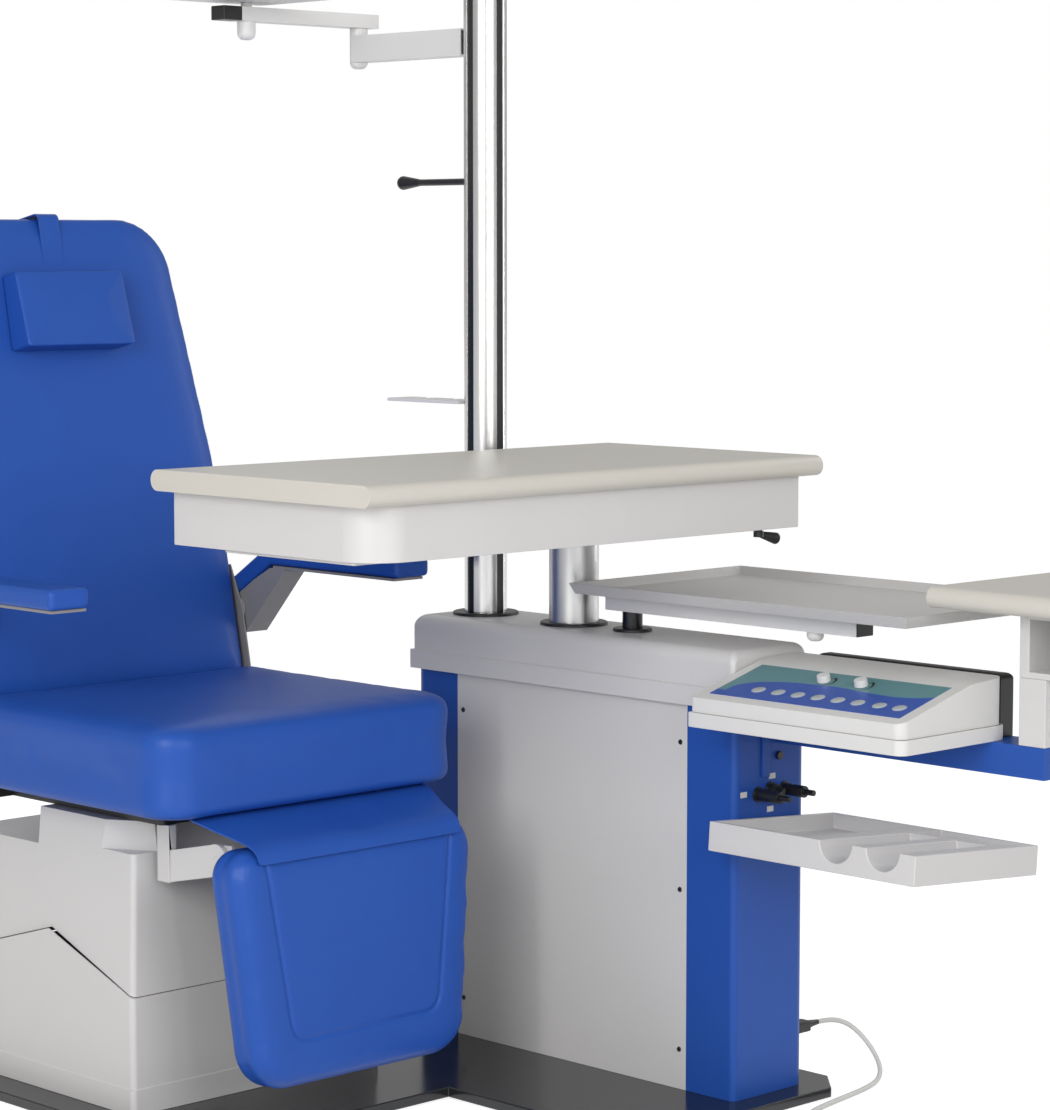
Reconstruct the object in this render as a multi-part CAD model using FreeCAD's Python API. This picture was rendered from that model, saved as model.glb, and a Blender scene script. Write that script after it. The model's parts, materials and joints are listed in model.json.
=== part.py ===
import FreeCAD, Part
import math
import os
from FreeCAD import Placement, Rotation, Vector

# Ophthalmic examination unit: a lifting chair and an instrument stand on one floor plate.
# Millimetres. The sitter faces -Y, the stand is on the sitter's left at +X, and +Z is up.
# The origin is on the floor, on the axis of the chair's lift.

os.makedirs("parts", exist_ok=True)

X_DIR = Vector(1, 0, 0)
Y_DIR = Vector(0, 1, 0)
Z_DIR = Vector(0, 0, 1)

# Shared clearances
gap = 0.3            # between parts that move past each other, and under soft parts
bore_gap = 0.05      # radial play of a pin or a spindle in its bore
overrun = 5.0        # how far a cutting tool runs past the face that it cuts

# Floor plate
plate_thick = 16.0
plate_left = -300.0
plate_right = 680.0
plate_front_chair = -416.0
plate_front_stand = -826.0
plate_rear = 310.0
plate_step_x = 208.0
plate_chamfer = 50.0

# Base covers of the chair
base_half_width = 243.0
base_front = -215.0
base_rear = 265.0
base_corner = 9.0
base_wall = 4.0
plinth_height = 39.0
plinth_proud = 1.5
seam_corner_z = 190.0
seam_peak_z = 268.0
seam_peak_y = -5.0
seam_gap = 1.5
cover_taper = 22.0
cover_low_top = 391.0
cover_high_top = 448.0
cover_step_y = 41.0
cover_notch_x = 42.0
cover_notch_y = 76.0
cover_notch_height = 44.0
cover_groove = 2.0

# Chair lift
guide_out = 112.0
guide_wall = 5.0
guide_top = 420.0
ram_wall = 6.0
ram_bottom = 70.0

# Seat frame
frame_half_width = 200.0
frame_front = -235.0
frame_rear = 150.0
frame_bottom = 450.0
frame_skin = 10.0

# Seat cushion
seat_half_width = 293.8
seat_front = -366.4
seat_rear = 152.0
seat_bottom = 477.3
seat_top = 615.0
seat_front_corner = 62.0
seat_rear_corner = 24.0
seat_edge = 24.0
seat_low_edge = 15.0
seat_draw_in = 4.0
seat_crown = 4.0
seat_crown_inset = 110.0

# Backrest: a lean from the upright, with its face starting at the seat's rear
back_lean = 11.2
back_foot_y = 155.6
back_foot_z = 588.0
back_length = 779.5
back_half_top = 239.0
back_half_foot = 293.0
back_knee = 320.0
back_knee_radius = 1300.0
back_thick = 92.0
back_top_corner = 100.0
back_foot_corner = 20.0
back_edge = 14.0
back_draw_in = 4.0
back_crown = 6.0
back_crown_inset = 95.0
shell_thick = 20.0
shell_inset = 12.0
shell_wall = 4.0

# Backrest frame: side plates that carry the back and the armrests
hinge_y = 205.0
hinge_z = 535.0
hinge_pin_radius = 9.0
side_plate_thick = 3.0
side_plate_lap = 75.0
side_plate_tip = 17.0
side_plate_nose_y = 160.5
side_plate_nose_z = 604.0
ear_thick = 10.0
ear_radius = 24.0
cross_tube_radius = 10.0

# Strap over the top of the backrest, and the pillow on it
strap_width = 40.0
strap_thick = 2.5
strap_front_length = 180.0
strap_back_length = 150.0
strap_bend = 9.0
pillow_half_width = 106.0
pillow_foot = back_length - 222.5
pillow_head = pillow_foot + 124.0
pillow_foot_thick = 50.0
pillow_head_thick = 37.0
pillow_draw_in = 1.0
pillow_corner = 5.0
pillow_edge = 4.0
pillow_crown = 4.0
pillow_crown_inset = 40.0

# Armrests
arm_inner_x = 299.0
arm_pad_width = 71.0
arm_pad_bottom = 778.0
arm_pad_thick = 31.0
arm_pad_front = -200.0
arm_pad_rear = 115.0
arm_tail_length = 116.0
arm_tail_angle = 32.5
arm_pad_corner = 7.0
arm_pivot_y = 197.0
arm_pivot_z = 700.0
arm_boss_radius = 29.0
arm_boss_length = 3.5
arm_washer_radius = 20.0
arm_boss_bore = 12.0
arm_bracket_thick = 46.0
arm_bracket_top = 773.5
arm_bracket_front = 78.0
arm_bracket_heel_y = 179.0
arm_bracket_heel_z = 661.0
arm_pin_length = 14.0
arm_bracket_edge = 3.0
arm_flange_inset = 8.0

# Legrest
leg_pivot_y = -347.0
leg_pivot_z = 412.0
leg_pin_radius = 6.0
leg_arm_x = 185.0
leg_arm_thick = 8.0
leg_arm_height = 48.0
leg_bar_width = 28.0
leg_bar_thick = 14.0
leg_bar_front = -241.0
leg_bar_foot = 364.0
leg_back_offset = 29.0
leg_pad_thick = 75.0
leg_pad_half_top = 240.0
leg_pad_half_foot = 203.0
leg_pad_rise = 24.0
leg_pad_drop = 336.0
leg_tilt = -3.35
leg_top_corner = 42.0
leg_foot_corner = 66.0
leg_edge = 24.0
leg_draw_in = 4.0
leg_crown = 5.0
leg_crown_inset = 34.0
leg_ear_thick = 5.0
leg_ear_height = 44.0
leg_board_thick = 10.0
leg_board_inset = 30.0
seam_depth = 2.0
seam_half_width = 2.0
leg_seam_inset = 62.0
leg_seam_foot = 74.0
leg_seam_corner = 34.0

# Apron between the seat and the legrest
apron_half_width = 196.0
apron_thick = 3.0
apron_rear = -330.0
apron_lap = 18.0
apron_bend = 10.0
apron_clear = 2.0

# Cabinet
cab_left = 454.0
cab_right = 617.0
cab_front = -782.0
cab_rear = -74.0
cab_top = 613.0
cab_cover_depth = 98.0
cab_cover_rear_depth = 100.0
cab_corner = 20.0
cab_near_corner = 10.0
cab_wall = 3.0
cab_sheet = 1.5
cab_post = 20.0
cab_deck = 12.0
screw_head_radius = 3.2
screw_head_height = 1.2
screw_edge = 14.0
screw_rows_z = (78.0, 326.0, 553.0)

# Cap on the cabinet
cap_overhang = 11.5
cap_front_overhang = 8.0
cap_rear_overhang = 5.0
cap_lip = 30.0
cap_body_inset = 5.0
cap_top = 701.0
cap_wall = 3.0
cap_rear_corner = 6.0
cap_front_corner = 10.0
cap_far_corner = 26.0
cap_top_edge = 20.0

# Columns on the cabinet
stand_x = (cab_left + cab_right) / 2
pillar_y = -155.5
pillar_radius = 35.0
pillar_top = 1800.0
slot_width = 14.0
slot_depth = 10.0
strip_thick = 7.0
collar_radius = 54.0
collar_height = 5.0
post_collar_radius = 31.0
column_y = -360.0
column_radius = 40.0
column_wall = 4.0
column_bottom = 120.0
column_guide_wall = 6.0
post_y = -490.0
post_radius = 16.0
post_top = 732.0
post_spigot_radius = 9.0

# Table
table_left = -214.0
table_right = 666.0
table_front = -721.0
table_rear = -287.0
skirt_bottom = 871.0
skirt_top = 950.0
skirt_wall = 3.0
skirt_near_corner = 64.0
skirt_corner = 5.0
top_left = -236.0
top_right = 695.0
top_front = -743.0
top_rear = -264.0
top_thick = 31.0
nosing_flat = 0.6
hub_radius = 62.0
spigot_radius = 25.0
spigot_length = 55.0
tray_panel_thick = 4.5
tray_panel_left = -206.0
tray_panel_right = 640.0
tray_panel_front = -675.0
tray_panel_rear = -394.0
lock_x = 606.0
lock_y = -690.0
lock_stem_radius = 6.0
lock_stem_length = 5.0
lock_hub_radius = 8.0
lock_hub_height = 9.0
lock_lever_length = 43.0
lock_lever_radius = 4.5
lock_lever_end = 9.5
lock_lever_fall = 13.0

# Lens tray and its arm
tray_arm_left = 517.0
tray_arm_right = 554.0
tray_arm_rear = -448.0
tray_arm_front = -961.0
tray_arm_bottom = 732.5
tray_arm_top = 757.0
tray_arm_wall = 2.0
tray_arm_cap = 30.0
tray_pivot_y = -867.0
tray_nut_radius = 13.0
tray_nut_height = 15.0
lens_left = 461.0
lens_right = 862.0
lens_front = -1100.0
lens_rear = -422.0
lens_bottom = 760.0
lens_top = 777.0
lens_wall = 3.0
lens_flare = 7.0

# Beam, console and desk
beam_left = 549.0
beam_front = -1279.0
beam_bottom = 554.0
beam_top = 600.0
beam_wall = 3.0
console_left = 346.0
console_right = 583.0
console_front = -1188.0
console_rear = cab_front - 1.5
console_parting = beam_top + 22.0
console_lip_z = console_parting + 21.0
console_ridge_x = 500.0
console_ridge_z = console_parting + 63.0
console_back_z = console_parting + 69.0
console_corner = 16.0
console_rear_corner = 5.0
console_wall = 3.0
console_step = 4.0
overlay_thick = 0.8
overlay_margin = 24.0
overlay_edge = 14.0
knob_radius = 10.4
knob_height = 10.5
knob_shaft_radius = 3.0
knob_y = (-955.0, -1025.0)
knob_up_share = 0.70
cable_box_left = 586.5
cable_box_front = -1172.0
cable_box_rear = -826.0
cable_box_top = 692.0
cable_box_edge = 9.0
cable_box_wall = 2.5
bracket_left = 512.0
bracket_right = 528.0
bracket_foot = 505.0
bracket_thick = 4.0
desk_post_rear = -1233.0
desk_post_right = 607.0
desk_post_wall = 3.0
desk_shelf_bottom = 697.0
desk_shelf_top = 789.5
desk_shelf_right = 800.0
desk_shelf_width = 330.0
desk_shelf_wall = 17.0
desk_shelf_floor = 9.0
desk_top_thick = 31.0
desk_left = 490.0
desk_right = 890.0
desk_rear = -1112.0
desk_front = -1690.0

# Instrument tray on the cabinet's front
pen_half_width = 142.0
pen_length = 390.0
pen_front_z = 454.0
pen_height = 44.0
pen_tilt = 4.3
pen_wall = 9.0
pen_recess_depth = 24.0
pen_recess_share = 0.46
pen_trough_radius = 22.0
pen_trough_length = 205.0
pen_trough_first = 235.0
pen_trough_pitch = 58.0
pen_slot_depth = 18.0
pen_bracket_thick = 4.0
pen_bracket_drop = 14.0
pen_bracket_half = 40.0
pen_bracket_reach = 120.0

# Sockets on the cabinet's front, and the mains inlet on its side
socket_z = 480.0
socket_places = ((505.0, 0.0), (533.0, 5.0), (565.0, 2.0))
socket_radius = 9.0
socket_flange = 12.0
socket_flange_thick = 2.0
socket_body = (46.0, 14.0, 42.0)
socket_tail_radius = 4.5
socket_tail = 18.0
fuse_x = 551.0
fuse_z = 535.0
fuse_radius = 6.5
fuse_height = 5.0
inlet_y = -740.0
inlet_z = 92.0
inlet_width = 28.0
inlet_height = 48.0
inlet_depth = 3.0
plug_width = 22.0
plug_height = 17.0
plug_length = 48.0
relief_length = 28.0
relief_radius = 7.0

# Mains lead: it drops from its connector to the floor and runs off in front of the plate
cord_diameter = 8.0
cord_route = [
    (696.0, -740.0, 92.0), (728.0, -740.0, 92.0), (764.0, -748.0, 80.0), (786.0, -768.0, 50.0),
    (783.0, -797.0, 19.0), (749.0, -823.0, 6.0), (699.0, -839.0, 4.5), (642.0, -849.0, 4.5),
    (583.0, -859.0, 4.5), (525.0, -872.0, 4.5), (474.0, -904.0, 4.5), (440.0, -955.0, 4.5),
    (440.0, -1010.0, 4.5)]
coil_tail = [(0.0, -26.0, 0.0), (-4.0, -56.0, 5.0), (-4.0, -84.0, 5.0)]
coil_half_turns = 14
coil_mean_radius = 46.0
coil_pitch = 9.4
coil_lift = 10.0
mains_plug_radius = 19.0
mains_plug_length = 34.0
mains_relief_length = 26.0
mains_relief_radius = 6.5
mains_pin_radius = 2.4
mains_pin_length = 19.0
mains_pin_offset = 9.5

# Fittings on the pillar
holder_z = 1045.0
holder_thick = 5.0
holder_length = 176.0
holder_width = 64.0
holder_slot_depth = 38.0
holder_slots = ((60.0, 16.0), (120.0, 22.0))
holder_flange = 33.0
holder_flange_half = 8.0
holder_edge = 10.0
lever_z = 1407.0
lever_radius = 5.5
lever_length = 172.0
lever_knob_radius = 13.0
lever_knob_length = 50.0
arm_plate_bottom = 1581.0
arm_plate_top = 1686.0
arm_plate_half = 8.0
arm_plate_thick = 5.0
arm1_half_width = 18.0
arm1_bottom = 1610.0
arm1_top = 1654.0
arm1_wall = 2.5
knuckle_y = 154.0
knuckle_radius = 15.0
knuckle_nut_height = 11.0
arm2_bottom = 1667.0
arm2_top = 1690.0
arm2_left = 232.0
arm2_right = 566.0
arm2_half_width = 17.0
arm2_wall = 2.0
arm2_cap = 38.0
shelf_pivot_x = 292.0
shelf_nut_height = 30.0
shelf_left = 130.0
shelf_right = 350.0
shelf_front = 0.0
shelf_rear = 190.0
shelf_bottom = 1697.0
shelf_thick = 4.0
shelf_corner = 8.0

SOLIDS = {}


def keep(name, *solids):
    """Store a node's solids under its name."""
    SOLIDS[name] = list(solids)


def block(x0, x1, y0, y1, z0, z1):
    return Part.makeBox(x1 - x0, y1 - y0, z1 - z0, Vector(x0, y0, z0))


def rod(x, y, z, radius, length, direction=Z_DIR):
    return Part.makeCylinder(radius, length, Vector(x, y, z), direction)


def inset_points(points, inset):
    """Move every side of a convex anticlockwise outline inwards by the inset."""
    count = len(points)
    lines = []
    for i in range(count):
        ax, ay = points[i]
        bx, by = points[(i + 1) % count]
        length = math.hypot(bx - ax, by - ay)
        nx, ny = (ay - by) / length, (bx - ax) / length
        lines.append((nx, ny, nx * ax + ny * ay + inset))
    moved = []
    for i in range(count):
        a1, b1, c1 = lines[i - 1]
        a2, b2, c2 = lines[i]
        det = a1 * b2 - a2 * b1
        moved.append(((c1 * b2 - c2 * b1) / det, (a1 * c2 - a2 * c1) / det))
    return moved


def rounded_wire(points, radii, z):
    """A closed outline at height z whose corners are arcs of the given radii."""
    count = len(points)
    ends = []
    for i in range(count):
        here = Vector(points[i][0], points[i][1], z)
        before = Vector(points[i - 1][0], points[i - 1][1], z)
        after = Vector(points[(i + 1) % count][0], points[(i + 1) % count][1], z)
        back = (before - here).normalize()
        ahead = (after - here).normalize()
        half = back.getAngle(ahead) / 2
        run = radii[i] / math.tan(half)
        middle = (back + ahead).normalize()
        near = radii[i] / math.sin(half) - radii[i]
        ends.append((here + back * run, here + middle * near, here + ahead * run))
    edges = []
    for i in range(count):
        start, through, end = ends[i]
        edges.append(Part.Arc(start, through, end).toShape())
        edges.append(Part.LineSegment(end, ends[(i + 1) % count][0]).toShape())
    return Part.Wire(edges)


def prism(points, radii, z0, z1):
    face = Part.Face(rounded_wire(points, radii, z0))
    return face.extrude(Vector(0, 0, z1 - z0))


def rectangle(x0, x1, y0, y1):
    return [(x0, y0), (x1, y0), (x1, y1), (x0, y1)]


def rounded_block(x0, x1, y0, y1, z0, z1, radii):
    if not isinstance(radii, tuple):
        radii = (radii,) * 4
    return prism(rectangle(x0, x1, y0, y1), radii, z0, z1)


def cushion(points, radii, rings):
    """Loft inset copies of an outline; rings are (inset, height) pairs from the back up."""
    wires = []
    for inset, height in rings:
        shrunk = [max(radius - inset, radius * least_corner_share) for radius in radii]
        wires.append(rounded_wire(inset_points(points, inset), shrunk, height))
    return Part.makeLoft(wires, True, True)


least_corner_share = 0.3


def pad_rings(bottom, top, edges, draw_in, crown, crown_inset):
    """The rings of a padded form: rolled edges, sides that draw in, and a crowned face."""
    low_edge, edge = edges
    shoulder = top - crown - edge
    rings = [(low_edge * edge_share(angle), bottom + low_edge * (1 - rise_share(angle)))
             for angle in lower_edge_angles]
    rings += [(0, bottom + low_edge), (draw_in, (bottom + low_edge + shoulder) / 2),
              (0, shoulder)]
    rings += [(edge * edge_share(angle), shoulder + edge * rise_share(angle))
              for angle in upper_edge_angles]
    rings += [(crown_inset * share, top - crown * (1 - share) ** 2) for share in crown_shares]
    return rings


def edge_share(angle):
    return 1 - math.cos(math.radians(angle))


def rise_share(angle):
    return math.sin(math.radians(angle))


lower_edge_angles = (90, 55, 25)
upper_edge_angles = (25, 50, 75)
crown_shares = (0.3, 0.6, 1.0)


def fillet_where(shape, radius, wanted):
    """Round the edges for which wanted(edge) holds."""
    edges = [edge for edge in shape.Edges if wanted(edge)]
    return shape.makeFillet(radius, edges)


def lies_at_z(z):
    return lambda edge: all(abs(v.Z - z) < gap for v in edge.Vertexes)


def mirrored(shape):
    return shape.mirror(Vector(0, 0, 0), X_DIR)


# The base

def make_floor_plate():
    points = [(plate_left, plate_front_chair), (plate_step_x, plate_front_chair),
              (plate_step_x, plate_front_stand), (plate_right, plate_front_stand),
              (plate_right, plate_rear), (plate_left, plate_rear)]
    cut_corners = {0, 2, 3, 4, 5}
    outline = []
    for i, (x, y) in enumerate(points):
        if i not in cut_corners:
            outline.append(Vector(x, y, 0))
            continue
        here = Vector(x, y, 0)
        for other in (points[i - 1], points[(i + 1) % len(points)]):
            away = (Vector(other[0], other[1], 0) - here).normalize()
            outline.append(here + away * plate_chamfer)
    wire = Part.makePolygon(outline + [outline[0]])
    keep("floor_plate", Part.Face(wire).extrude(Vector(0, 0, plate_thick)))


def seam_prism(lift, wide):
    """All that lies below the peaked seam line of the base covers, raised by lift."""
    outline = [Vector(-wide, base_front - overrun, plate_thick - overrun),
               Vector(-wide, base_rear + overrun, plate_thick - overrun),
               Vector(-wide, base_rear + overrun, seam_corner_z + lift),
               Vector(-wide, seam_peak_y, seam_peak_z + lift),
               Vector(-wide, base_front - overrun, seam_corner_z + lift)]
    face = Part.Face(Part.makePolygon(outline + [outline[0]]))
    return face.extrude(Vector(2 * wide, 0, 0))


def base_body(inset, z0, z1, taper):
    low = rectangle(-base_half_width, base_half_width, base_front, base_rear)
    wires = []
    for z, amount in ((z0, inset), (z1, inset + taper)):
        radii = (base_corner,) * 4
        wires.append(rounded_wire(inset_points(low, amount), radii, z))
    return Part.makeLoft(wires, True, True)


def make_base_covers():
    outer = base_body(0, plate_thick, seam_peak_z, 0)
    inner = base_body(base_wall, plate_thick - overrun, seam_peak_z + overrun, 0)
    lower = outer.common(seam_prism(0, base_half_width + overrun)).cut(inner)
    plinth = base_body(-plinth_proud, plate_thick, plate_thick + plinth_height, 0)
    lower = lower.fuse(plinth.cut(inner)).removeSplitter()
    keep("base_lower_cover", lower)

    foot = seam_corner_z
    slope = cover_taper / (cover_high_top - foot)
    outer = base_body(cover_groove, foot, cover_high_top, cover_taper)
    inner_top = cover_high_top - base_wall
    inner = base_body(cover_groove + base_wall - slope * overrun, foot - overrun, inner_top,
                      slope * (inner_top - foot + overrun))
    step_z = cover_low_top - base_wall
    ledge = block(-base_half_width, base_half_width, cover_step_y - base_wall,
                  base_rear + overrun, step_z, cover_high_top + overrun)
    rear_cut = block(-base_half_width, base_half_width, cover_step_y, base_rear + overrun,
                     cover_low_top, cover_high_top + overrun)
    upper = outer.cut(rear_cut).cut(inner.cut(ledge))
    notch_wall = base_wall
    for side in (-1, 1):
        corner_x = base_half_width - cover_groove - cover_taper
        corner_y = base_front + cover_groove + cover_taper
        for proud, tool_for_wall in ((notch_wall, True), (0, False)):
            points = [Vector(side * (corner_x + overrun), corner_y + cover_notch_y + proud, 0),
                      Vector(side * (corner_x - cover_notch_x - proud), corner_y - overrun, 0),
                      Vector(side * (corner_x + overrun), corner_y - overrun, 0)]
            base_z = cover_high_top - cover_notch_height - proud
            points = [Vector(point.x, point.y, base_z) for point in points]
            wedge = Part.Face(Part.makePolygon(points + [points[0]]))
            wedge = wedge.extrude(Vector(0, 0, cover_notch_height + proud + overrun))
            if tool_for_wall:
                upper = upper.fuse(wedge.common(outer))
            else:
                upper = upper.cut(wedge)
    hole = guide_out / 2 + gap
    upper = upper.cut(block(-hole, hole, -hole, hole, foot, cover_high_top + overrun))
    upper = upper.cut(seam_prism(seam_gap, base_half_width + overrun)).removeSplitter()
    keep("base_upper_cover", upper)


def square_tube(half, wall, z0, z1):
    outer = block(-half, half, -half, half, z0, z1)
    hole = half - wall
    return outer.cut(block(-hole, hole, -hole, hole, z0 - overrun, z1 + overrun))


def make_chair_lift():
    half = guide_out / 2
    keep("chair_lift_guide", square_tube(half, guide_wall, plate_thick, guide_top))
    ram_half = half - guide_wall - gap
    keep("chair_lift_ram", square_tube(ram_half, ram_wall, ram_bottom, frame_bottom))


# The seat

def make_seat_frame():
    top = seat_bottom - gap
    deck = rounded_block(-frame_half_width, frame_half_width, frame_front, frame_rear,
                         top - frame_skin, top, base_corner)
    rim = rounded_block(-frame_half_width, frame_half_width, frame_front, frame_rear,
                        frame_bottom, top - frame_skin, base_corner)
    hollow = rounded_block(-frame_half_width + frame_skin, frame_half_width - frame_skin,
                           frame_front + frame_skin, frame_rear - frame_skin,
                           frame_bottom - overrun, top - frame_skin, base_corner)
    half = guide_out / 2 - guide_wall - gap
    seat = block(-half, half, -half, half, frame_bottom, top - frame_skin)
    frame = deck.fuse([rim.cut(hollow), seat])
    ear_out = seat_half_width - gap
    for side in (-1, 1):
        x0, x1 = sorted((side * (ear_out - ear_thick), side * ear_out))
        outline = [Vector(x0, frame_rear - frame_skin, frame_bottom),
                   Vector(x0, hinge_y + ear_radius, frame_bottom),
                   Vector(x0, hinge_y + ear_radius, hinge_z),
                   Vector(x0, hinge_y - ear_radius, hinge_z),
                   Vector(x0, seat_rear + overrun, frame_bottom + ear_radius),
                   Vector(x0, frame_rear - frame_skin, frame_bottom + ear_radius)]
        ear = Part.Face(Part.makePolygon(outline + [outline[0]])).extrude(
            Vector(x1 - x0, 0, 0))
        round_end = rod(x0, hinge_y, hinge_z, ear_radius, x1 - x0, X_DIR)
        bar_x0, bar_x1 = sorted((side * (frame_half_width - frame_skin), side * ear_out))
        bar = block(bar_x0, bar_x1, frame_rear - frame_skin, frame_rear, frame_bottom,
                    frame_bottom + ear_radius)
        pin = rod(x0, hinge_y, hinge_z, hinge_pin_radius,
                  ear_thick + side_plate_thick + gap, X_DIR)
        if side < 0:
            pin = rod(x1, hinge_y, hinge_z, hinge_pin_radius,
                      ear_thick + side_plate_thick + gap, -X_DIR)
        frame = frame.fuse([ear, round_end, bar, pin])
    keep("seat_frame", frame.removeSplitter())


def make_seat_cushion():
    points = rectangle(-seat_half_width, seat_half_width, seat_front, seat_rear)
    radii = (seat_front_corner, seat_front_corner, seat_rear_corner, seat_rear_corner)
    rings = pad_rings(seat_bottom, seat_top, (seat_low_edge, seat_edge), seat_draw_in,
                      seat_crown, seat_crown_inset)
    keep("seat_cushion", cushion(points, radii, rings))


# The backrest, in its own plane: x across, y up the back, z out of the sitter's face

def back_placement():
    return Placement(Vector(0, back_foot_y, back_foot_z), Rotation(X_DIR, 90 - back_lean))


def to_back(shape):
    shape = shape.copy()
    shape.Placement = back_placement().multiply(shape.Placement)
    return shape


def back_local(y, z):
    """The (up, out) place in the backrest's plane of a point of the side view."""
    lean = math.radians(back_lean)
    dy, dz = y - back_foot_y, z - back_foot_z
    up = dy * math.sin(lean) + dz * math.cos(lean)
    out = dz * math.sin(lean) - dy * math.cos(lean)
    return up, out


def back_outline():
    return [(-back_half_foot, 0), (back_half_foot, 0), (back_half_foot, back_knee),
            (back_half_top, back_length), (-back_half_top, back_length),
            (-back_half_foot, back_knee)]


def make_backrest():
    radii = (back_foot_corner, back_foot_corner, back_knee_radius,
             back_top_corner, back_top_corner, back_knee_radius)
    rings = pad_rings(-back_thick, 0, (back_edge, back_edge), back_draw_in, back_crown,
                      back_crown_inset)
    keep("backrest_cushion", to_back(cushion(back_outline(), radii, rings)))

    face = -back_thick - gap
    shell_points = inset_points(back_outline(), shell_inset)
    shell_radii = [max(radius - shell_inset, shell_wall + base_wall) for radius in radii]
    outer = prism(shell_points, shell_radii, face - shell_thick, face)
    outer = fillet_where(outer, shell_wall + base_wall / 2,
                         lies_at_z(face - shell_thick))
    inner_points = inset_points(shell_points, shell_wall)
    inner_radii = [radius - shell_wall for radius in shell_radii]
    inner = prism(inner_points, inner_radii, face - shell_thick + shell_wall,
                  face + overrun)
    keep("backrest_shell", to_back(outer.cut(inner)))


def make_backrest_frame():
    inner_x = seat_half_width + gap
    pivot_up, pivot_out = back_local(arm_pivot_y, arm_pivot_z)
    hinge_up, hinge_out = back_local(hinge_y, hinge_z)
    plates = []
    for side in (-1, 1):
        boss_low = rod(0, 0, 0, ear_radius, side_plate_thick, X_DIR)
        boss_low.Placement = Placement(Vector(inner_x, hinge_up, hinge_out), Rotation())
        boss_high = rod(0, 0, 0, side_plate_tip, side_plate_thick, X_DIR)
        boss_high.Placement = Placement(Vector(inner_x, pivot_up, pivot_out), Rotation())
        nose_up, nose_out = back_local(side_plate_nose_y, side_plate_nose_z)
        strip = [Vector(inner_x, nose_up, nose_out),
                 Vector(inner_x, hinge_up, hinge_out + ear_radius),
                 Vector(inner_x, hinge_up, hinge_out - ear_radius),
                 Vector(inner_x, pivot_up + side_plate_lap, -back_thick + cross_tube_radius),
                 Vector(inner_x, pivot_up + side_plate_lap, pivot_out),
                 Vector(inner_x, pivot_up, pivot_out + side_plate_tip)]
        strip_face = Part.Face(Part.makePolygon(strip + [strip[0]]))
        plate = strip_face.extrude(Vector(side_plate_thick, 0, 0))
        hinge_bore = rod(0, 0, 0, hinge_pin_radius + bore_gap,
                         side_plate_thick + 2 * overrun, X_DIR)
        hinge_bore.Placement = Placement(Vector(inner_x - overrun, hinge_up, hinge_out),
                                         Rotation())
        pin = rod(0, 0, 0, arm_boss_bore - bore_gap,
                  side_plate_thick + arm_boss_length + arm_pin_length, X_DIR)
        pin.Placement = Placement(Vector(inner_x, pivot_up, pivot_out), Rotation())
        washer = rod(0, 0, 0, arm_washer_radius, arm_boss_length - gap, X_DIR)
        washer.Placement = Placement(
            Vector(inner_x + side_plate_thick, pivot_up, pivot_out), Rotation())
        plate = plate.fuse([boss_low, boss_high, pin, washer]).cut(hinge_bore)
        if side < 0:
            plate = mirrored(plate)
        plates.append(plate)
    cross = rod(-inner_x, -cross_tube_radius - gap, -back_thick / 2, cross_tube_radius,
                2 * inner_x, X_DIR)
    keep("backrest_frame", to_back(cross.fuse(plates).removeSplitter()))


def make_strap_and_pillow():
    half = strap_width / 2
    rear = back_thick + 2 * gap + shell_thick
    low_front = back_length - strap_front_length

    def loop(grow):
        """The strap's side outline, run round the top of the back and out at the foot."""
        outline = rectangle(low_front - 2 * strap_bend, back_length + gap + grow,
                            -rear - gap - grow, gap + grow)
        return outline

    radii = (strap_bend, strap_bend + strap_thick, strap_bend + strap_thick, strap_bend)
    outer = prism(loop(strap_thick), radii, -half, half)
    inner = prism(loop(0), (strap_bend,) * 4, -half - overrun, half + overrun)
    band = outer.cut(inner)
    keep_box = block(low_front, back_length + overrun * 2, -rear * 2, rear, -half, half)
    band = band.common(keep_box)
    trim = block(low_front - overrun, back_length - strap_back_length, -rear * 2,
                 -back_thick, -half - overrun, half + overrun)
    band = band.cut(trim)
    band.Placement = Placement(Vector(0, 0, 0), Rotation(Y_DIR, Z_DIR, X_DIR, "ZXY"))
    keep("headrest_strap", to_back(band))

    rest = strap_thick + 2 * gap
    outline = rectangle(-pillow_half_width, pillow_half_width, pillow_foot, pillow_head)
    slant = (pillow_foot_thick - pillow_head_thick) / (pillow_head - pillow_foot)

    def face_wire(inset, lift):
        """A copy of the outline on the slanted front face, thicker at its foot."""
        corners = [Vector(x, y, rest + pillow_foot_thick - (y - pillow_foot) * slant + lift)
                   for x, y in inset_points(outline, inset)]
        return Part.makePolygon(corners + [corners[0]])

    low = [Vector(x, y, rest) for x, y in outline]
    wires = [Part.makePolygon(low + [low[0]]), face_wire(pillow_draw_in, 0),
             face_wire(pillow_crown_inset, pillow_crown)]
    pillow = Part.makeLoft(wires, True, True)
    pillow = fillet_where(pillow, pillow_corner, lambda edge: edge.BoundBox.ZMin < rest + gap
                          and edge.BoundBox.ZLength > pillow_head_thick / 2)
    pillow = fillet_where(pillow, pillow_edge, lambda edge: edge.BoundBox.ZMax < rest + gap)
    keep("headrest_pillow", to_back(pillow))


# The armrests, made on the sitter's left and mirrored

def side_prism(outline, x0, x1):
    points = [Vector(x0, y, z) for y, z in outline]
    return Part.Face(Part.makePolygon(points + [points[0]])).extrude(Vector(x1 - x0, 0, 0))


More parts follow.
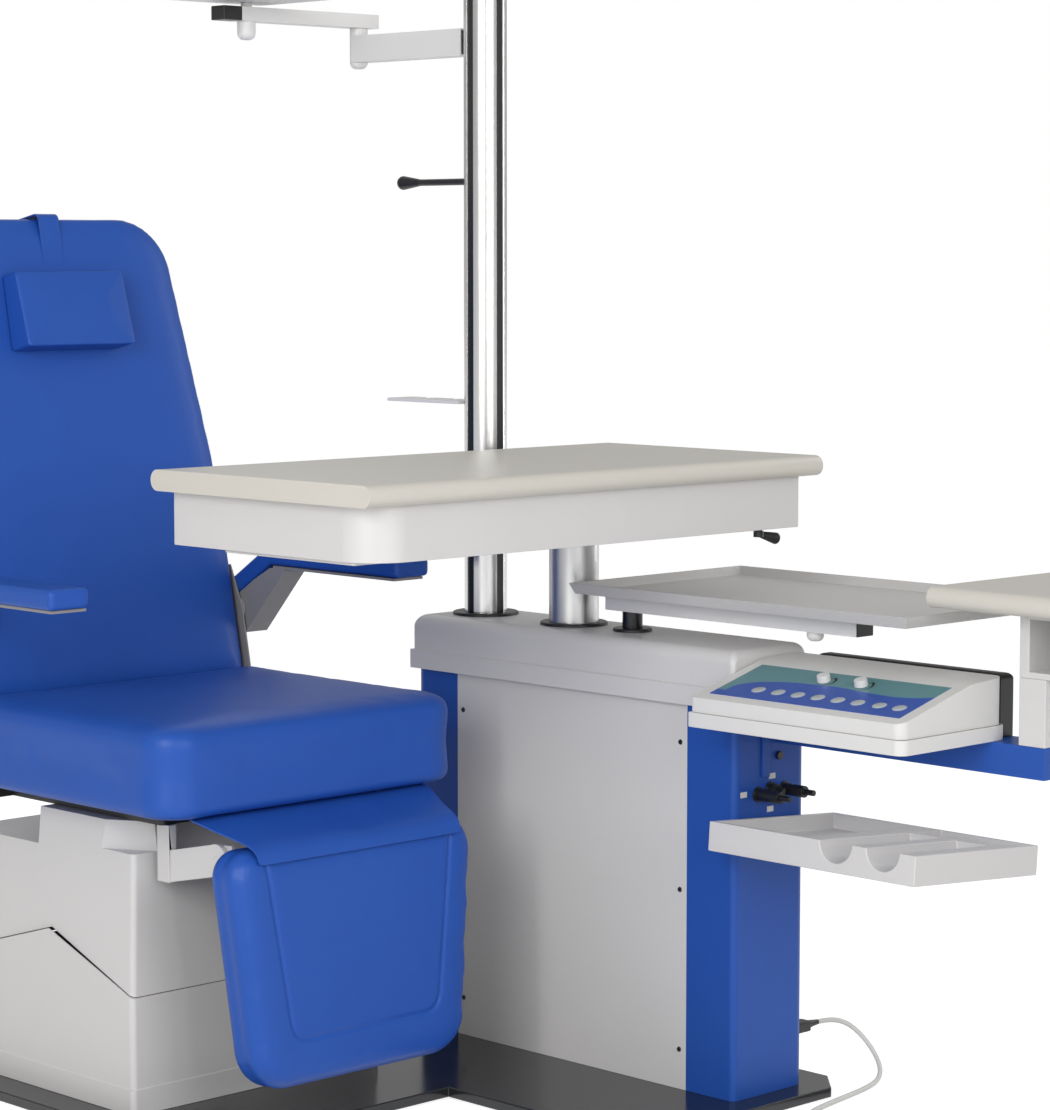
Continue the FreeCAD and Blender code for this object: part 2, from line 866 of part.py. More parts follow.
def make_armrests():
    x0, x1 = arm_inner_x, arm_inner_x + arm_pad_width
    low, high = arm_pad_bottom, arm_pad_bottom + arm_pad_thick
    fall = math.radians(arm_tail_angle)
    end_y = arm_pad_rear + arm_tail_length * math.cos(fall)
    end_z = low - arm_tail_length * math.sin(fall)
    outline = [(arm_pad_front, low), (arm_pad_rear, low), (end_y, end_z),
               (end_y + arm_pad_thick * math.sin(fall), end_z + arm_pad_thick * math.cos(fall)),
               (arm_pad_rear + arm_pad_thick * math.tan(fall / 2), high), (arm_pad_front, high)]
    pad = side_prism(outline, x0, x1)
    pad = fillet_where(pad, arm_pad_corner, lambda edge: edge.BoundBox.XLength < gap
                       or edge.BoundBox.ZMin > high - gap
                       or edge.BoundBox.YMax < arm_pad_front + gap)

    inner = seat_half_width + gap + side_plate_thick + arm_boss_length
    pivot = (arm_pivot_y, arm_pivot_z)
    web = [(arm_bracket_front, arm_bracket_top), (arm_bracket_front, arm_bracket_top - arm_bracket_edge),
           (arm_bracket_heel_y, arm_bracket_heel_z),
           (pivot[0] - arm_bracket_edge, pivot[1] - arm_boss_radius - arm_bracket_edge * 2),
           (pivot[0] + arm_boss_radius, pivot[1]),
           (pivot[0], pivot[1] + arm_boss_radius), (arm_pad_rear, arm_bracket_top)]
    bracket = side_prism(web, inner, inner + arm_bracket_thick)
    boss = rod(inner, pivot[0], pivot[1], arm_boss_radius, arm_bracket_thick, X_DIR)
    flange = block(inner, x1 - arm_flange_inset,
                   arm_pad_front + arm_flange_inset, arm_pad_rear - arm_flange_inset,
                   arm_bracket_top, arm_pad_bottom - gap)
    bore = rod(inner - overrun, pivot[0], pivot[1], arm_boss_bore,
               arm_pin_length + overrun + gap, X_DIR)
    bracket = bracket.fuse([boss, flange]).cut(bore)
    for shift in (0, -gap):
        seat = side_prism([(y + shift, z + shift) for y, z in outline], x0, x1)
        bracket = bracket.cut(seat)
    bracket = bracket.removeSplitter()
    keep("armrest_pad_left", pad)
    keep("armrest_bracket_left", bracket)
    keep("armrest_pad_right", mirrored(pad))
    keep("armrest_bracket_right", mirrored(bracket))


# The legrest: its plane has x across, y up the pad and z out of its face

def leg_placement():
    return Placement(Vector(0, leg_pivot_y, leg_pivot_z), Rotation(X_DIR, 90 + leg_tilt))


def to_leg(shape):
    shape = shape.copy()
    shape.Placement = leg_placement().multiply(shape.Placement)
    return shape


def leg_outline():
    return [(-leg_pad_half_foot, -leg_pad_drop), (leg_pad_half_foot, -leg_pad_drop),
            (leg_pad_half_top, leg_pad_rise), (-leg_pad_half_top, leg_pad_rise)]


def leg_seam():
    """The U-shaped sewn line in the flat middle of the pad, as a shallow channel."""
    top = leg_pad_rise - leg_seam_corner
    foot = -leg_pad_drop + leg_seam_foot
    wide_top = leg_pad_half_top - leg_seam_inset
    wide_foot = leg_pad_half_foot - leg_seam_inset
    outline = [(-wide_foot, foot), (wide_foot, foot), (wide_top, top), (-wide_top, top)]
    radii = (leg_seam_corner,) * 2 + (seam_half_width * 2,) * 2
    face = leg_back_offset + leg_pad_thick
    ring = prism(outline, radii, face - seam_depth, face + overrun)
    inner = inset_points(outline, 2 * seam_half_width)
    inner[2] = (inner[2][0], top + overrun)
    inner[3] = (inner[3][0], top + overrun)
    inner_radii = (leg_seam_corner - 2 * seam_half_width,) * 2 + (seam_half_width,) * 2
    return ring.cut(prism(inner, inner_radii, face - 2 * seam_depth, face + 2 * overrun))


def make_legrest():
    back = leg_back_offset
    radii = (leg_foot_corner, leg_foot_corner, leg_top_corner, leg_top_corner)
    rings = pad_rings(back, back + leg_pad_thick, (leg_edge, leg_edge), leg_draw_in,
                      leg_crown, leg_crown_inset)
    pad = cushion(leg_outline(), radii, rings).cut(leg_seam())
    keep("legrest_pad", to_leg(pad))

    board_out = back - gap
    points = inset_points(leg_outline(), leg_board_inset)
    board_radii = (leg_foot_corner - leg_board_inset,) * 2 + (leg_top_corner - leg_board_inset,) * 2
    board = prism(points, board_radii, board_out - leg_board_thick, board_out)
    parts = [board]
    for side in (-1, 1):
        inner_x = leg_arm_x - leg_arm_thick / 2 - gap - leg_ear_thick
        x0, x1 = sorted((side * inner_x, side * (inner_x + leg_ear_thick)))
        half = leg_ear_height / 2
        ear = block(x0, x1, -half, half, 0, board_out)
        tip = rod(x0, 0, 0, half, leg_ear_thick, X_DIR)
        pin_start = side * (inner_x + leg_ear_thick)
        pin = rod(pin_start, 0, 0, leg_pin_radius - bore_gap, leg_arm_thick + gap, X_DIR * side)
        parts += [ear, tip, pin]
    bracket = parts[0].fuse(parts[1:])
    slot_half = leg_arm_thick / 2 + 2 * gap
    for side in (-1, 1):
        x0, x1 = sorted((side * (leg_arm_x - slot_half), side * (leg_arm_x + slot_half)))
        relief = rod(x0, 0, 0, leg_arm_height / 2 + gap, x1 - x0, X_DIR)
        bracket = bracket.cut(relief.cut(rod(x0, 0, 0, leg_pin_radius, x1 - x0, X_DIR)))
    keep("legrest_bracket", to_leg(bracket.removeSplitter()))

    hangers = []
    for side in (-1, 1):
        bar_x = side * leg_arm_x
        bar = block(bar_x - leg_bar_thick / 2, bar_x + leg_bar_thick / 2, leg_bar_front,
                    leg_bar_front + leg_bar_width, leg_bar_foot, frame_bottom)
        half = leg_arm_height / 2
        arm = side_prism([(leg_bar_front + overrun, leg_bar_foot),
                          (leg_bar_front + overrun, leg_bar_foot + leg_arm_height),
                          (leg_pivot_y, leg_pivot_z + half), (leg_pivot_y, leg_pivot_z - half)],
                         bar_x - leg_arm_thick / 2, bar_x + leg_arm_thick / 2)
        tip = rod(bar_x - leg_arm_thick / 2, leg_pivot_y, leg_pivot_z, half, leg_arm_thick,
                  X_DIR)
        bore = rod(bar_x - leg_arm_thick, leg_pivot_y, leg_pivot_z, leg_pin_radius,
                   2 * leg_arm_thick, X_DIR)
        hangers.append(bar.fuse([arm, tip]).cut(bore).removeSplitter())
    keep("legrest_hangers", *hangers)


def make_apron():
    """The vinyl flap from under the seat over the top of the legrest pad."""
    top = seat_bottom - gap
    pad_top = leg_pivot_z + leg_pad_rise
    front = leg_pivot_y - leg_back_offset - leg_pad_thick - apron_clear
    hem = pad_top - apron_lap
    outer = [(apron_rear, top - apron_thick), (apron_rear, top),
             (seat_front, top), (front - apron_thick + apron_bend, pad_top + apron_bend),
             (front - apron_thick, pad_top), (front - apron_thick, hem), (front, hem),
             (front, pad_top - apron_thick / 2),
             (front + apron_bend, pad_top + apron_bend - apron_thick),
             (seat_front, top - apron_thick)]
    keep("apron_flap", side_prism(outer, -apron_half_width, apron_half_width))


# The cabinet

def make_cabinet():
    floor = plate_thick
    deck = block(cab_left + cab_wall, cab_right - cab_wall, cab_front + cab_corner,
                 cab_rear - cab_corner, cab_top - cab_deck, cab_top)
    parts = []
    for x0 in (cab_left + cab_wall, cab_right - cab_wall - cab_post):
        for y0 in (cab_front + cab_corner, cab_rear - cab_corner - cab_post):
            parts.append(block(x0, x0 + cab_post, y0, y0 + cab_post, floor, cab_top - cab_deck))
    for z in (floor, (cab_top + floor) / 2):
        for x0 in (cab_left + cab_wall, cab_right - cab_wall - cab_post):
            parts.append(block(x0, x0 + cab_post, cab_front + cab_corner,
                               cab_rear - cab_corner, z, z + cab_post))
    frame = deck.fuse(parts)
    frame = frame.cut(rod(stand_x, column_y, floor, column_radius + column_guide_wall + gap,
                          cab_top))
    keep("cabinet_frame", frame.removeSplitter())

    front_edge = cab_front + cab_cover_depth
    rear_edge = cab_rear - cab_cover_rear_depth
    panels = [block(x, x + cab_sheet, front_edge + gap, rear_edge - gap, floor, cab_top)
              for x in (cab_left, cab_right - cab_sheet)]
    keep("cabinet_side_panels", *panels)

    def end_cover(y0, y1, open_at_high_y):
        tiny = cab_wall + gap
        radii = (cab_near_corner, cab_corner, tiny, tiny)
        if not open_at_high_y:
            radii = (tiny, tiny, cab_corner, cab_corner)
        inner_radii = tuple(radius - cab_wall for radius in radii)
        outer = rounded_block(cab_left, cab_right, y0, y1, floor, cab_top, radii)
        reach = (0, tiny) if open_at_high_y else (-tiny, 0)
        squared = rounded_block(cab_left, cab_right, y0 + reach[0] * 2, y1 + reach[1] * 2,
                                floor, cab_top, radii)
        squared = squared.common(block(cab_left, cab_right, y0, y1, floor, cab_top))
        wall_lo = cab_wall if open_at_high_y else -overrun
        wall_hi = -overrun if open_at_high_y else cab_wall
        inner = rounded_block(cab_left + cab_wall, cab_right - cab_wall, y0 + wall_lo,
                              y1 - wall_hi, floor - overrun, cab_top + overrun, inner_radii)
        return squared.fuse(outer).cut(inner).removeSplitter()

    keep("cabinet_front_cover", end_cover(cab_front, front_edge, True))
    keep("cabinet_rear_cover", end_cover(rear_edge, cab_rear, False))

    screws = []
    for x, direction in ((cab_left, -X_DIR), (cab_right, X_DIR)):
        for y in (front_edge + screw_edge, rear_edge - screw_edge):
            for z in screw_rows_z:
                head = rod(x, y, z, screw_head_radius, screw_head_height, direction)
                screws.append(head)
    keep("cabinet_screws", *screws)

def make_cap():
    low = cab_top
    x0, x1 = cab_left - cap_overhang, cab_right + cap_overhang
    y0, y1 = cab_front - cap_front_overhang, cab_rear + cap_rear_overhang
    corners = (cap_front_corner, cap_far_corner, cap_rear_corner, cap_rear_corner)

    def form(inset, floor_z, top_z, edge):
        radii = tuple(radius - inset for radius in corners)
        lip = rounded_block(x0 + inset, x1 - inset, y0 + inset, y1 - inset, floor_z,
                            low + cap_lip - inset, radii)
        reach = inset + cap_body_inset
        body = rounded_block(x0 + reach, x1 - reach, y0 + reach, y1 - reach, floor_z, top_z,
                             radii)
        body = fillet_where(body, edge - inset, lies_at_z(top_z))
        return lip.fuse(body)

    outer = form(0, low, cap_top, cap_top_edge)
    inner = form(cap_wall, low - overrun, cap_top - cap_wall, cap_top_edge)
    shell = outer.cut(inner)
    rim = block(cab_left, cab_right, cab_front + cab_corner, cab_rear - cab_corner, low,
                low + cap_wall)
    shell = shell.fuse(rim.cut(block(cab_left + cab_post, cab_right - cab_post,
                                     cab_front + 2 * cab_corner, cab_rear - 2 * cab_corner,
                                     low - overrun, low + 2 * overrun)))
    spars = []
    for y in (cab_front + cab_corner, cab_rear - cab_corner - cab_post):
        spars.append(block(x0 + cap_wall, x1 - cap_wall, y, y + cab_post, low, low + cap_wall))
    shell = shell.fuse(spars)
    for y, radius in ((pillar_y, pillar_radius), (column_y, column_radius), (post_y, post_radius)):
        shell = shell.cut(rod(stand_x, y, low - overrun, radius + gap, cap_top))
    # The console is let into the cap's front
    shell = shell.cut(block(console_left - gap, console_right + gap, y0 - overrun,
                            console_rear + gap, low - overrun, console_back_z + gap))
    keep("cabinet_cap", shell.removeSplitter())

    collars = []
    for y, inner_r, outer_r in ((pillar_y, pillar_radius, collar_radius),
                                (column_y, column_radius, collar_radius),
                                (post_y, post_radius, post_collar_radius)):
        ring = rod(stand_x, y, cap_top, outer_r, collar_height)
        ring = fillet_where(ring, collar_height / 2, lies_at_z(cap_top + collar_height))
        collars.append(ring.cut(rod(stand_x, y, cap_top - overrun, inner_r + gap,
                                    collar_height + 2 * overrun)))
    keep("column_collars", *collars)


def make_columns():
    pillar = rod(stand_x, pillar_y, cab_top, pillar_radius, pillar_top - cab_top)
    strips = []
    half = slot_width / 2
    for angle in (0, 90, 180, 270):
        slot = block(pillar_radius - slot_depth, pillar_radius + overrun, -half, half,
                     cab_top - overrun, pillar_top + overrun)
        strip = block(pillar_radius - slot_depth, pillar_radius - slot_depth + strip_thick,
                      -half, half, cap_top, pillar_top)
        turn = Placement(Vector(stand_x, pillar_y, 0), Rotation(Z_DIR, angle))
        slot.Placement = turn.multiply(slot.Placement)
        strip.Placement = turn.multiply(strip.Placement)
        pillar = pillar.cut(slot)
        strips.append(strip)
    keep("pillar", pillar)
    keep("pillar_slot_strips", *strips)

    guide_r = column_radius + gap
    guide = rod(stand_x, column_y, plate_thick, guide_r + column_guide_wall,
                cab_top - plate_thick)
    guide = guide.cut(rod(stand_x, column_y, plate_thick - overrun, guide_r, cab_top))
    keep("table_lift_guide", guide)

    column = rod(stand_x, column_y, column_bottom, column_radius, skirt_bottom - column_bottom)
    column = column.cut(rod(stand_x, column_y, column_bottom - overrun,
                            column_radius - column_wall,
                            skirt_bottom - column_bottom - column_wall + overrun))
    spigot = rod(stand_x, column_y, skirt_bottom - column_wall, spigot_radius,
                 spigot_length + column_wall)
    keep("table_column", column.fuse(spigot).removeSplitter())

    post = rod(stand_x, post_y, cab_top, post_radius, post_top - cab_top)
    pin = rod(stand_x, post_y, post_top - overrun, post_spigot_radius,
              tray_arm_top - tray_arm_wall - gap - post_top + overrun)
    keep("tray_post", post.fuse(pin).removeSplitter())


# The table

def nosed_board(x0, x1, y0, y1, z, thick, along):
    """A board whose two edges along a direction are half round, and whose ends are flat."""
    board = block(x0, x1, y0, y1, z, z + thick)
    return fillet_where(board, (thick - nosing_flat) / 2, lambda edge:
                        edge.tangentAt(edge.FirstParameter).cross(along).Length < 0.5)


def make_table():
    base = skirt_bottom + gap
    radii = (skirt_near_corner, skirt_corner, skirt_corner, skirt_corner)
    outer = rounded_block(table_left, table_right, table_front, table_rear, base, skirt_top,
                          radii)
    inner_radii = tuple(radius - skirt_wall for radius in radii)
    inner = rounded_block(table_left + skirt_wall, table_right - skirt_wall,
                          table_front + skirt_wall, table_rear - skirt_wall,
                          base + skirt_wall, skirt_top + overrun, inner_radii)
    hub = rod(stand_x, column_y, base, hub_radius, skirt_top - base)
    bore = rod(stand_x, column_y, base - overrun, spigot_radius + bore_gap,
               skirt_top - base + 2 * overrun)
    skirt = outer.cut(inner).fuse(hub).cut(bore).removeSplitter()

    keep("table_top", nosed_board(top_left, top_right, top_front, top_rear, skirt_top,
                                  top_thick, X_DIR))

    panel = rounded_block(tray_panel_left, tray_panel_right, tray_panel_front,
                          tray_panel_rear, base - tray_panel_thick, base,
                          (skirt_corner,) * 4)
    hole = rod(stand_x, column_y, base - 2 * tray_panel_thick, hub_radius,
               4 * tray_panel_thick)
    keep("table_skirt", skirt, panel.cut(hole))

    stem = rod(lock_x, lock_y, base - lock_stem_length, lock_stem_radius,
               lock_stem_length - gap)
    hub_z = base - lock_stem_length - lock_hub_height
    head = rod(lock_x, lock_y, hub_z, lock_hub_radius, lock_hub_height)
    fall = math.radians(lock_lever_fall)
    lever = Part.makeCone(lock_lever_radius, lock_lever_end, lock_lever_length,
                          Vector(lock_x, lock_y, hub_z + lock_hub_height / 2),
                          Vector(math.cos(fall), 0, -math.sin(fall)))
    lever = fillet_where(lever, lock_stem_radius / 2, lambda edge:
                         edge.BoundBox.XMin > lock_x + lock_lever_length / 2
                         and edge.BoundBox.XLength < lock_lever_end)
    keep("table_lock_lever", stem.fuse([head, lever]).removeSplitter())


def box_tube(x0, x1, y0, y1, z0, z1, wall, along):
    outer = block(x0, x1, y0, y1, z0, z1)
    grow = {"x": (-overrun, wall, wall), "y": (wall, -overrun, wall)}[along]
    inner = block(x0 + grow[0], x1 - grow[0], y0 + grow[1], y1 - grow[1], z0 + grow[2],
                  z1 - grow[2])
    return outer.cut(inner)


def dome_nut(x, y, top, radius, height):
    """A round nut with a domed foot, hanging from the height named top."""
    nut = rod(x, y, top - height, radius, height)
    return fillet_where(nut, radius * dome_share, lies_at_z(top - height))


dome_share = 0.7


def make_lens_tray():
    tube = box_tube(tray_arm_left, tray_arm_right, tray_arm_front, tray_arm_rear,
                    tray_arm_bottom, tray_arm_top, tray_arm_wall, "y")
    plug = block(tray_arm_left, tray_arm_right, tray_arm_front - tray_arm_wall,
                 tray_arm_front, tray_arm_bottom, tray_arm_top)
    stop = block(tray_arm_left + tray_arm_wall + gap, tray_arm_right - tray_arm_wall - gap,
                 tray_arm_front, tray_arm_front + tray_arm_cap,
                 tray_arm_bottom + tray_arm_wall + gap, tray_arm_top - tray_arm_wall - gap)
    hub = rod(stand_x, post_y, tray_arm_bottom,
              (tray_arm_right - tray_arm_left - tray_arm_wall) / 2,
              tray_arm_top - tray_arm_bottom)
    bore = rod(stand_x, post_y, tray_arm_bottom - overrun, post_spigot_radius + bore_gap,
               tray_arm_top - tray_arm_wall - tray_arm_bottom + overrun)
    pin = rod(stand_x, tray_pivot_y, tray_arm_bottom, post_spigot_radius,
              lens_bottom - gap - tray_arm_bottom)
    arm = tube.fuse([hub, pin]).cut(bore)
    nut = dome_nut(stand_x, tray_pivot_y, tray_arm_bottom, tray_nut_radius, tray_nut_height)
    keep("tray_arm", arm.removeSplitter(), nut)
    keep("tray_arm_end_cap", plug.fuse(stop).removeSplitter())

    wires = []
    for z, flare in ((lens_bottom, lens_flare), (lens_top, 0)):
        wires.append(Part.makePolygon([
            Vector(lens_left + flare, lens_front + flare, z),
            Vector(lens_right - flare, lens_front + flare, z),
            Vector(lens_right - flare, lens_rear - flare, z),
            Vector(lens_left + flare, lens_rear - flare, z),
            Vector(lens_left + flare, lens_front + flare, z)]))
    outer = Part.makeLoft(wires, True, True)
    wires = []
    for z, flare in ((lens_bottom + lens_wall, lens_flare + lens_wall),
                     (lens_top + lens_wall, lens_wall)):
        wires.append(Part.makePolygon([
            Vector(lens_left + flare, lens_front + flare, z),
            Vector(lens_right - flare, lens_front + flare, z),
            Vector(lens_right - flare, lens_rear - flare, z),
            Vector(lens_left + flare, lens_rear - flare, z),
            Vector(lens_left + flare, lens_front + flare, z)]))
    inner = Part.makeLoft(wires, True, True)
    keep("lens_tray", outer.cut(inner))


# The beam, console and desk

def make_beam():
    tube = box_tube(beam_left, cab_right, beam_front, cab_front, beam_bottom, beam_top,
                    beam_wall, "y")
    plate = block(beam_left, cab_right, beam_front, beam_front + beam_wall, beam_bottom,
                  beam_top)
    beam = tube.fuse(plate).removeSplitter()
    upright = block(bracket_left, bracket_right, cab_front - bracket_thick, cab_front,
                    bracket_foot, beam_top)
    foot = block(bracket_left, bracket_right, cab_front - overrun - bracket_thick * 4,
                 cab_front, beam_top - bracket_thick, beam_top)
    keep("instrument_beam", beam, upright.fuse(foot).removeSplitter())


def console_form(inset, z_low, lift):
    """The console's solid: a sloped face between the front lip and the ridge."""
    slope = (console_ridge_z - console_lip_z) / (console_ridge_x - console_left)
    drop = inset * math.hypot(1, slope)
    reach = console_step + inset
    x0, x1 = console_left + reach, console_right - reach
    outline = [(x0, z_low), (x1, z_low), (x1, console_back_z - lift - inset),
               (console_ridge_x, console_ridge_z - lift - drop),
               (x0, console_lip_z - lift + slope * reach - drop)]
    points = [Vector(x, console_front + reach, z) for x, z in outline]
    face = Part.Face(Part.makePolygon(points + [points[0]]))
    solid = face.extrude(Vector(0, console_rear - console_front - 2 * reach, 0))
    middle = (console_front + console_rear) / 2

    def upright(edge):
        return edge.BoundBox.XLength < gap and edge.BoundBox.YLength < gap

    solid = fillet_where(solid, console_corner - inset,
                         lambda edge: upright(edge) and edge.BoundBox.YMax < middle)
    return fillet_where(solid, console_rear_corner - inset,
                        lambda edge: upright(edge) and edge.BoundBox.YMin > middle)


def make_console():
    base = rounded_block(console_left, console_right, console_front, console_rear,
                         beam_top, console_parting,
                         (console_corner, console_corner,
                          console_rear_corner, console_rear_corner))
    hollow = rounded_block(console_left + console_wall, console_right - console_wall,
                           console_front + console_wall, console_rear - console_wall,
                           beam_top + console_wall, console_parting + overrun,
                           (console_corner - console_wall, console_corner - console_wall,
                            console_rear_corner - console_wall,
                            console_rear_corner - console_wall))
    keep("console_base", base.cut(hollow))
    outer = console_form(0, console_parting, 0)
    inner = console_form(console_wall, console_parting - overrun, 0)
    cover = outer.cut(inner)

    slope = math.atan2(console_ridge_z - console_lip_z, console_ridge_x - console_left)
    up = Vector(math.cos(slope), 0, math.sin(slope))
    out = Vector(-math.sin(slope), 0, math.cos(slope))
    face_length = math.hypot(console_ridge_z - console_lip_z, console_ridge_x - console_left)
    start = Vector(console_left, console_front, console_lip_z)

    def on_face(along_y, share, lift):
        return start + Vector(0, along_y, 0) + up * (face_length * share) + out * lift

    width = console_rear - console_front
    low_share = overlay_margin / face_length
    high_share = 1 - overlay_edge / face_length
    corners = [on_face(overlay_margin, low_share, 0), on_face(width - overlay_margin, low_share, 0),
               on_face(width - overlay_margin, high_share, 0), on_face(overlay_margin, high_share, 0)]
    film = Part.Face(Part.makePolygon(corners + [corners[0]])).extrude(out * overlay_thick)
    knobs = []
    for y in knob_y:
        centre = on_face(y - console_front, knob_up_share, 0)
        bore = Part.makeCylinder(knob_shaft_radius + bore_gap, overrun * 2,
                                 centre - out * overrun, out)
        film = film.cut(bore)
        cover = cover.cut(bore)
        foot = centre + out * (overlay_thick + gap)
        body = Part.makeCone(knob_radius, knob_radius * knob_taper_share, knob_height, foot, out)
        shaft = Part.makeCylinder(knob_shaft_radius, overrun + overlay_thick + gap,
                                  foot - out * (overrun + overlay_thick), out)
        knobs.append(body.fuse(shaft).removeSplitter())
    keep("console_cover", cover)
    keep("console_overlay", film)
    keep("console_knob_1", knobs[0])
    keep("console_knob_2", knobs[1])


knob_taper_share = 0.92


def make_desk():
    post = block(beam_left, desk_post_right, beam_front, desk_post_rear, beam_top,
                 desk_shelf_bottom)
    hollow = block(beam_left + desk_post_wall, desk_post_right - desk_post_wall,
                   beam_front + desk_post_wall, desk_post_rear - desk_post_wall,
                   beam_top - overrun, desk_shelf_bottom - desk_post_wall)
    keep("desk_post", post.cut(hollow))
    y0, y1 = desk_post_rear - desk_shelf_width, desk_post_rear
    box = block(beam_left, desk_shelf_right, y0, y1, desk_shelf_bottom, desk_shelf_top)
    inside = block(beam_left - overrun, desk_shelf_right - desk_shelf_floor,
                   y0 + desk_shelf_wall, y1 - desk_shelf_wall,
                   desk_shelf_bottom + desk_shelf_floor, desk_shelf_top - desk_shelf_floor)
    keep("desk_shelf", box.cut(inside))
    keep("desk_top", nosed_board(desk_left, desk_right, desk_front, desk_rear,
                                 desk_shelf_top, desk_top_thick, Y_DIR))


def make_pen_tray():
    """A tray with a flat recess, two rounded troughs and a slot, leaning back a little."""
    rear = cab_front - pen_bracket_thick
    front = rear - pen_length
    body = block(-pen_half_width, pen_half_width, front, rear, -pen_height, 0)
    recess_front = rear - pen_length * pen_recess_share
    body = body.cut(block(-pen_half_width + pen_wall, pen_half_width - pen_wall, recess_front,
                          rear - pen_wall, -pen_recess_depth, overrun))
    for i in range(2):
        y = rear - pen_trough_first - i * pen_trough_pitch
        trough = rod(-pen_half_width - overrun, y, 0, pen_trough_radius,
                     pen_trough_length + overrun, X_DIR)
        body = body.cut(trough)
    slot_rear = rear - pen_trough_first - pen_trough_pitch - pen_trough_radius - pen_wall
    body = body.cut(block(-pen_half_width + pen_wall, pen_half_width - pen_wall,
                          front + pen_wall, slot_rear, -pen_slot_depth, overrun))
    body = fillet_where(body, arm_bracket_edge, lambda edge: edge.BoundBox.ZLength > pen_height - gap
                        and edge.BoundBox.XLength < gap)
    lean = Placement(Vector(stand_x - pen_half_width, 0, pen_front_z),
                     Rotation(Y_DIR, pen_tilt)).multiply(
        Placement(Vector(pen_half_width, 0, 0), Rotation()))
    body.Placement = lean.multiply(body.Placement)
    upright = block(-pen_bracket_half, pen_bracket_half, rear, cab_front,
                    -pen_height - pen_bracket_drop, -pen_height + pen_slot_depth)
    shelf = block(-pen_bracket_half, pen_bracket_half, rear - pen_bracket_reach, cab_front,
                  -pen_height - pen_bracket_thick, -pen_height)
    bracket = upright.fuse(shelf).removeSplitter()
    bracket.Placement = lean.multiply(bracket.Placement)
    keep("instrument_tray", body, bracket)


def make_sockets():
    sockets = []
    for (x, dz), length in zip(socket_places, socket_body):
        z = socket_z + dz
        flange = rod(x, cab_front, z, socket_flange, socket_flange_thick, -Y_DIR)
        body = rod(x, cab_front, z, socket_radius, length, -Y_DIR)
        tail = rod(x, cab_front - length, z, socket_tail_radius,
                   min(socket_tail, length), -Y_DIR)
        sockets.append(flange.fuse([body, tail]).removeSplitter())
    fuse_holder = rod(fuse_x, cab_front, fuse_z, fuse_radius, fuse_height, -Y_DIR)

    # The cable box behind the console, with its foot on the beam
    box = block(cable_box_left, cab_right, cable_box_front, cable_box_rear, beam_top,
                cable_box_top)
    box = fillet_where(box, cable_box_edge, lies_at_z(cable_box_top))
    wall = cable_box_wall
    box = box.cut(block(cable_box_left + wall, cab_right - wall, cable_box_front + wall,
                        cable_box_rear - wall, beam_top - overrun,
                        cable_box_top - cable_box_edge))
    keep("cabinet_sockets", *sockets, fuse_holder, box)


# The mains lead

def arc_edges(points):
    """Straight runs joined by tangent arcs, each as large as its two runs allow."""
    edges = []
    radii = []
    at = points[0]
    for before, here, after in zip(points, points[1:], points[2:]):
        back = before - here
        ahead = after - here
        turn = math.pi - back.getAngle(ahead)
        cut = run_share * min(back.Length, ahead.Length)
        radius = cut / math.tan(turn / 2)
        back.normalize()
        ahead.normalize()
        start, end = here + back * cut, here + ahead * cut
        inside = (back + ahead).normalize()
        near = radius / math.cos(turn / 2) - radius
        edges.append(Part.LineSegment(at, start).toShape())
        edges.append(Part.Arc(start, here + inside * near, end).toShape())
        radii.append(radius)
        at = end
    edges.append(Part.LineSegment(at, points[-1]).toShape())
    return edges, radii


run_share = 0.45


def pipe(wire, radius):
    """A round tube along a wire of lines and arcs."""
    start = wire.OrderedEdges[0].valueAt(wire.OrderedEdges[0].FirstParameter)
    ahead = wire.OrderedEdges[0].tangentAt(wire.OrderedEdges[0].FirstParameter)
    ring = Part.Wire([Part.makeCircle(radius, start, ahead)])
    shell = Part.BRepOffsetAPI.MakePipeShell(wire)
    shell.add(ring, False, False)
    shell.build()
    shell.makeSolid()
    return shell.shape()


def coil_wire():
    """Half turns that spiral in, climb a layer where they reverse, and spiral out again."""
    step = coil_pitch / 2
    inward = coil_half_turns // 2
    radius = coil_mean_radius + step * inward / 2
    at = Vector(*cord_route[-1])
    shapes = []
    side = 1
    for i in range(coil_half_turns):
        change = 0 if i == inward else (-step if i < inward else step)
        width = 2 * radius + change
        end = at + Vector(side * width, 0, 0)
        middle = at + Vector(side * width / 2, -side * width / 2, 0)
        if i == inward:
            shapes += rising_arcs(at, middle, end, coil_lift)
            end += Vector(0, 0, coil_lift)
        else:
            shapes.append(Part.Arc(at, middle, end).toShape())
        at = end
        radius += change
        side = -side
    tail = [at] + [at + Vector(*offset) for offset in coil_tail]
    shapes += arc_edges(tail)[0]
    return Part.Wire(shapes), tail[-1]


def least_gap(wire):
    """The least clear distance between turns of a wound tube, measured on points."""
    points = wire.discretize(Distance=coil_pitch / 4)
    apart = int(math.pi * coil_mean_radius / (coil_pitch / 4))
    least = wire.Length
    for i, here in enumerate(points):
        for other in points[i + apart:]:
            least = min(least, here.distanceToPoint(other))
    return least - cord_diameter


def rising_arcs(start, middle, end, rise):
    """Half a turn that climbs a layer, as arcs of an eighth of a turn."""
    centre = (start + end) / 2
    across = start - centre
    ahead = middle - centre
    places = []
    for share in climb_shares:
        angle = math.pi * share
        lift = rise * (1 - math.cos(angle)) / 2
        flat = centre + across * math.cos(angle) + ahead * math.sin(angle)
        places.append(flat + Vector(0, 0, lift))
    shapes = []
    tangent = ahead.normalize()
    for here, there in zip(places, places[1:]):
        arc = arc_from_tangent(here, tangent, there)
        shapes.append(arc)
        tangent = arc.tangentAt(arc.LastParameter)
    return shapes


climb_shares = (0, 0.25, 0.5, 0.75, 1.0)


